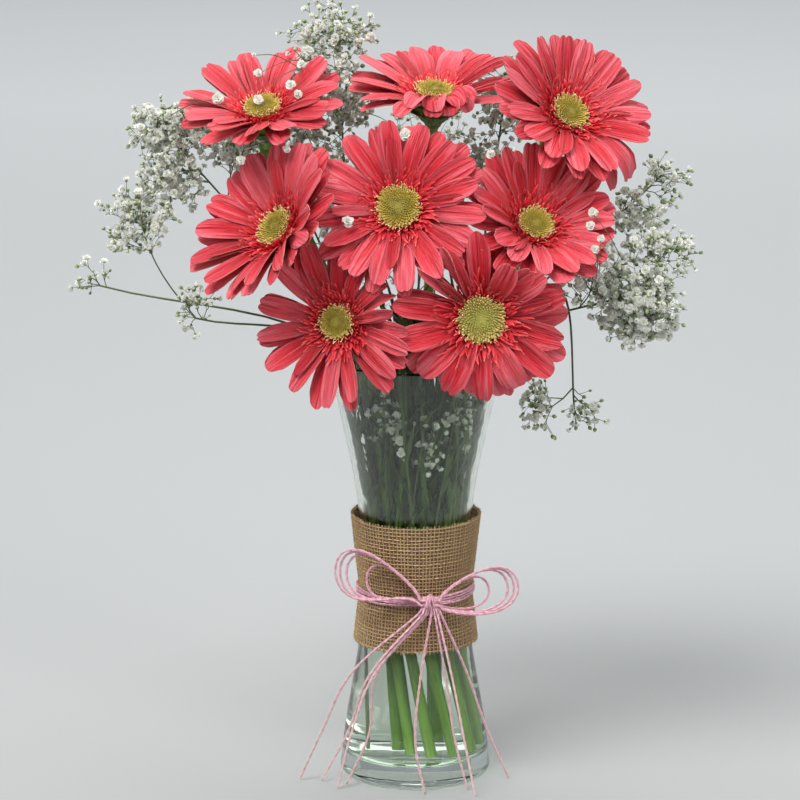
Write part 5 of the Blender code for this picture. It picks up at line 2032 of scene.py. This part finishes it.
@dataclass
class BreathCloud:
    """All the baby's breath.

    Attributes:
        sprays: The sprays above the glass.
        sprigs: The sprigs inside the glass.
        singles: Places of the large flowers that stand alone in front of the petals, with their scale.
    """

    sprays: tuple[Spray, ...] = (
        Spray(
            "breath_1", Vector((-0.182, -0.002, 0.292)), 178.0, foot=0.0150, low=0.62, number=1,
            lobes=(
                Lobe(Vector((-0.160, 0.000, 0.330)), (0.022, 0.018, 0.021), 70, 0.5),
                Lobe(Vector((-0.186, -0.002, 0.297)), (0.010, 0.008, 0.013), 6, 0.3),
            ),
        ),
        Spray(
            "breath_2", Vector((-0.138, 0.034, 0.368)), 132.0, low=0.45, number=2,
            lobes=(
                Lobe(Vector((-0.137, 0.028, 0.379)), (0.030, 0.020, 0.014), 150, 0.6),
                Lobe(Vector((-0.141, 0.018, 0.350)), (0.018, 0.016, 0.020), 90, 0.5),
                Lobe(Vector((-0.100, 0.030, 0.368)), (0.022, 0.020, 0.016), 60, 0.6),
            ),
        ),
        Spray(
            "breath_3", Vector((-0.046, 0.048, 0.437)), 108.0, detour=7.0, low=0.45, number=3,
            lobes=(
                Lobe(Vector((-0.047, 0.048, 0.434)), (0.026, 0.015, 0.015), 80, 0.5),
                Lobe(Vector((-0.054, 0.036, 0.398)), (0.030, 0.022, 0.028), 190, 0.6),
                Lobe(Vector((-0.062, 0.030, 0.355)), (0.024, 0.016, 0.022), 60, 0.6),
            ),
        ),
        Spray(
            "breath_4", Vector((0.054, 0.050, 0.406)), 42.0, low=0.45, number=4,
            lobes=(
                Lobe(Vector((0.056, 0.046, 0.394)), (0.020, 0.018, 0.022), 110, 0.4),
                Lobe(Vector((0.040, 0.030, 0.356)), (0.018, 0.016, 0.022), 60, 0.5),
            ),
        ),
        Spray(
            "breath_5", Vector((0.142, 0.022, 0.352)), 8.0, low=0.5, number=5,
            lobes=(
                Lobe(Vector((0.144, 0.020, 0.352)), (0.017, 0.012, 0.017), 22, 0.25),
                Lobe(Vector((0.128, 0.012, 0.330)), (0.018, 0.016, 0.016), 46, 0.35),
            ),
        ),
        Spray(
            "breath_6", Vector((0.128, -0.018, 0.292)), 350.0, low=0.4, number=6,
            lobes=(
                Lobe(Vector((0.126, -0.018, 0.283)), (0.026, 0.018, 0.022), 190, 0.65, 1.05),
                Lobe(Vector((0.140, -0.012, 0.312)), (0.022, 0.016, 0.014), 60, 0.35),
                Lobe(Vector((0.100, -0.020, 0.302)), (0.020, 0.016, 0.020), 60, 0.5),
            ),
        ),
        Spray(
            "breath_7", Vector((0.092, -0.014, 0.218)), 326.0, detour=-7.0, crest=HANGING_CREST, low=0.72, number=7,
            lobes=(
                Lobe(Vector((0.099, -0.014, 0.220)), (0.011, 0.008, 0.013), 14, 0.2),
                Lobe(Vector((0.070, -0.016, 0.224)), (0.009, 0.008, 0.018), 26, 0.3),
            ),
        ),
        Spray(
            "breath_8", Vector((-0.126, -0.018, 0.276)), 206.0, detour=7.0, low=0.7, number=8,
            lobes=(Lobe(Vector((-0.127, -0.018, 0.284)), (0.012, 0.010, 0.012), 16, 0.2),),
        ),
        Spray(
            "breath_9", Vector((-0.070, 0.094, 0.330)), 120.0, detour=14.0, low=0.4, number=9,
            lobes=(
                Lobe(Vector((-0.070, 0.080, 0.340)), (0.040, 0.034, 0.036), 130, 0.55),
                Lobe(Vector((-0.045, 0.045, 0.300)), (0.030, 0.022, 0.030), 70, 0.5),
            ),
        ),
        Spray(
            "breath_10", Vector((0.004, 0.107, 0.350)), 86.0, low=0.4, number=10,
            lobes=(
                Lobe(Vector((0.002, 0.088, 0.352)), (0.036, 0.030, 0.040), 120, 0.55),
                Lobe(Vector((0.000, 0.050, 0.310)), (0.030, 0.020, 0.030), 70, 0.5),
            ),
        ),
        Spray(
            "breath_11", Vector((0.078, 0.092, 0.326)), 60.0, low=0.4, number=11,
            lobes=(
                Lobe(Vector((0.074, 0.080, 0.336)), (0.036, 0.032, 0.036), 110, 0.55),
                Lobe(Vector((0.060, 0.040, 0.300)), (0.030, 0.020, 0.028), 60, 0.5),
            ),
        ),
    )
    sprigs: tuple[Spray, ...] = (
        Spray("breath_low_1", Vector((-0.018, -0.033, 0.228)), 238.0, low=0.35, number=21,
              lobes=(Lobe(Vector((-0.014, -0.031, 0.212)), (0.012, 0.006, 0.020), 30, 0.5),)),
        Spray("breath_low_2", Vector((0.004, -0.034, 0.214)), 263.0, low=0.35, number=22,
              lobes=(Lobe(Vector((0.010, -0.033, 0.200)), (0.013, 0.006, 0.020), 40, 0.5),)),
        Spray("breath_low_3", Vector((0.024, -0.029, 0.236)), 296.0, low=0.35, number=23,
              lobes=(Lobe(Vector((0.028, -0.027, 0.212)), (0.011, 0.008, 0.028), 70, 0.6),)),
    )
    singles: tuple[tuple[float, float, float], ...] = (
        (-0.0883, 0.4182, 1.15), (-0.1133, 0.3989, 1.25), (-0.0899, 0.3987, 1.35), (-0.0641, 0.4233, 1.20),
        (-0.0703, 0.4116, 1.20), (-0.0673, 0.4020, 1.25), (-0.0907, 0.4287, 0.60), (-0.0740, 0.4220, 0.60),
        (-0.0983, 0.3693, 1.30), (-0.0728, 0.3754, 1.00), (-0.0878, 0.3742, 0.60), (-0.0061, 0.3832, 1.30),
        (0.0997, 0.3392, 1.10), (0.0982, 0.3325, 0.90), (0.1035, 0.3271, 0.90), (0.1000, 0.3204, 1.10),
        (0.1075, 0.3216, 1.10), (0.0418, 0.3727, 1.20), (-0.0380, 0.3379, 1.20),
    )

    def add_single(
        self, pile: Pile, forms: FloretForms, solid: BVHTree, spots: Array, row: tuple[float, float, float], draw: random.Random
    ) -> None:
        """Adds one large flower in front of the petals, on a fine stalk from the nearest free twig."""
        x, z, size = row
        start = Vector((x, -0.3, z))
        hit = solid.ray_cast(start, Vector((0.0, 1.0, 0.0)))[0]
        place = (hit if hit is not None else Vector((x, -0.03, z))) + Vector((0.0, -0.0042, 0.0))
        order = np.argsort(np.linalg.norm(spots - np.array(place), axis=1))
        for pick in order[: 4 * 400 : 4]:
            root = Vector(spots[pick])
            for forward in (0.004, 0.012, 0.022):
                bend = root.lerp(place, 0.55) + Vector((0.0, -forward, 0.004))
                knots = smooth_line([root, bend, place], 5)
                clear = all(
                    solid.ray_cast(a, (b - a).normalized(), (b - a).length)[0] is None for a, b in zip(knots, knots[1:])
                )
                if clear:
                    line = np.array([tuple(p) for p in knots])
                    pile.add_tube(line, np.linspace(0.00030, 0.00020, len(line)), tone=draw.random(), sides=4)
                    forms.put(pile, Floret.OPEN, place, Vector((0.1, -0.9, 0.5)).normalized(), size, draw)
                    return
        LOG.info("no way to the flower at %.3f %.3f", x, z)

    def make(self, solid: BVHTree, finishes: Sequence[bpy.types.Material]) -> None:
        """Makes every spray and the single flowers.

        Args:
            solid: What the twigs have to clear.
            finishes: Materials of twigs, flowers and buds.
        """
        forms = FloretForms()
        spots = []
        for spray in self.sprays + self.sprigs:
            pile = Pile()
            spots.append(spray.grow(pile, forms, solid, 0.0022))
            dress(pile.build("baby_" + spray.node, finishes, 60.0), [spray.node])
        above = np.concatenate(spots[: len(self.sprays)])
        pile = Pile()
        draw = random.Random(90)
        for row in self.singles:
            self.add_single(pile, forms, solid, above, row, draw)
        dress(pile.build("front_flowers", finishes, 60.0))


@dataclass
class LeafTangle:
    """The narrow leaves and thin stems that crowd the glass above the band.

    Attributes:
        stems: How many thin stems there are.
        low: Where they start, behind the band.
        high: How high they reach at the most.
    """

    stems: int = 96
    low: float = 0.098
    high: float = 0.300

    def held(self, point: Vector) -> Vector:
        """A point kept inside the glass, or inside the bunch above it."""
        limit = between(VASE_OUTLINE, min(point.z, VASE_HEIGHT)) - GLASS_WALL - 0.0016
        flat = math.hypot(point.x, point.y)
        if flat > limit:
            point = Vector((point.x * limit / flat, point.y * limit / flat, point.z))
        return point

    def make(self, finishes: Sequence[bpy.types.Material]) -> None:
        """Makes the tangle."""
        draw = random.Random(31)
        pile = Pile()
        for i in range(self.stems):
            turn = math.degrees(GOLDEN_ANGLE) * i
            share = math.sqrt((i + 0.5) / self.stems)
            start = bearing(turn, 0.0265 * share, self.low)
            top = draw.uniform(0.205, self.high)
            end = bearing(turn + draw.uniform(-40, 40), draw.uniform(0.35, 1.0) * 0.043, top)
            middle = start.lerp(end, 0.5) * 0.93 + bearing(draw.uniform(0, 360), 0.006)
            middle.z = (start.z + end.z) / 2
            line = [self.held(p) for p in smooth_line([start, middle, end], 8)]
            radius = draw.choice((0.0005, 0.0007, 0.0009, 0.0012))
            pile.add_tube(np.array([tuple(p) for p in line]), radius * np.linspace(1.0, 0.7, len(line)), tone=draw.random(), sides=4)
            for k in range(2, len(line) - 1, 2):
                for side in (0, 1):
                    self.add_leaf(pile, line, k, draw.uniform(0, 6.28) + math.pi * side, draw)
        dress(pile.build("leaf_tangle", finishes, 60.0))

    def add_leaf(self, pile: Pile, line: Sequence[Vector], joint: int, turn: float, draw: random.Random) -> None:
        """Adds one narrow leaf at a joint of a stem."""
        root = line[joint]
        way = (line[joint] - line[joint - 1]).normalized()
        side = way.orthogonal().normalized()
        side.rotate(Matrix.Rotation(turn, 3, way))
        length = draw.uniform(0.014, 0.038)
        fall = draw.uniform(-0.1, 0.9)
        middle = []
        for step in range(5):
            t = step / 4
            point = root + (way * (1 - 0.35 * t * fall) + side * (0.35 + 0.5 * t * fall)) * length * t
            middle.append(tuple(self.held(point)))
        wide = draw.uniform(0.0009, 0.0021) * np.array([0.35, 0.95, 1.0, 0.7, 0.08])
        pile.add_tube(np.array(middle), wide, slot=1, thick=wide * 0.16, sides=4, up=np.array(side) + 0.01, tone=draw.random())
        pile.marks["along"][-1] = np.append(np.repeat(np.linspace(0, 1, 5), 4), [0.0, 1.0])


def main() -> None:
    """Builds the pieces, sub-assembly by sub-assembly."""
    logging.basicConfig(level=logging.INFO, format="%(name)s: %(message)s")
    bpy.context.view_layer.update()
    Studio().make()
    TwineBow().make()
    GlassVase().make()
    HessianBand().make()
    greens = [STEM_GREEN.material(), CALYX_GREEN.material()]
    for bloom in BLOOMS:
        bloom.make_stem(greens)
    corals = [CORAL.material(), FRINGE.material(), FILAMENT.material()]
    stems = [node_tree_of(f"gerbera_{bloom.number}_stem") for bloom in BLOOMS]
    heads: list[BVHTree] = []
    for bloom in BLOOMS:
        others = [tree for i, tree in enumerate(stems) if i != bloom.number - 1]
        heads.append(bloom.make_head(corals, [*heads, *others, node_tree_of("vase")]))
    LOG.info("blooms: %d", len(BLOOMS))
    breath = [TWIG_GREEN.material(), BREATH_WHITE.material(), BREATH_BUD.material()]
    BreathCloud().make(solid_of_blooms(), breath)
    LeafTangle().make([STEM_GREEN_THIN.material(), LEAF_GREEN.material()])


STEM_GREEN_THIN = GreenFinish("thin_stems", (0.040, 0.085, 0.018), (0.13, 0.21, 0.05), (0.08, 0.12, 0.03), 4.0, 40.0, 0.5)


def solid_of_blooms() -> BVHTree:
    """A search tree of every petal, disc, stem and the vase, as they are shown."""
    places: list[Vector] = []
    faces: list[tuple[int, ...]] = []
    for obj in bpy.data.objects:
        if obj.type != "MESH" or not obj.name.startswith(("petals_", "disc_", "green_stem_")):
            continue
        start = len(places)
        places += [v.co.copy() for v in obj.data.vertices]
        faces += [tuple(start + i for i in p.vertices) for p in obj.data.polygons]
    mesh = frame["nodes"]["vase"].data
    start = len(places)
    places += [v.co.copy() for v in mesh.vertices]
    faces += [tuple(start + i for i in p.vertices) for p in mesh.polygons]
    return BVHTree.FromPolygons(places, faces)


if __name__ == "__main__":
    main()
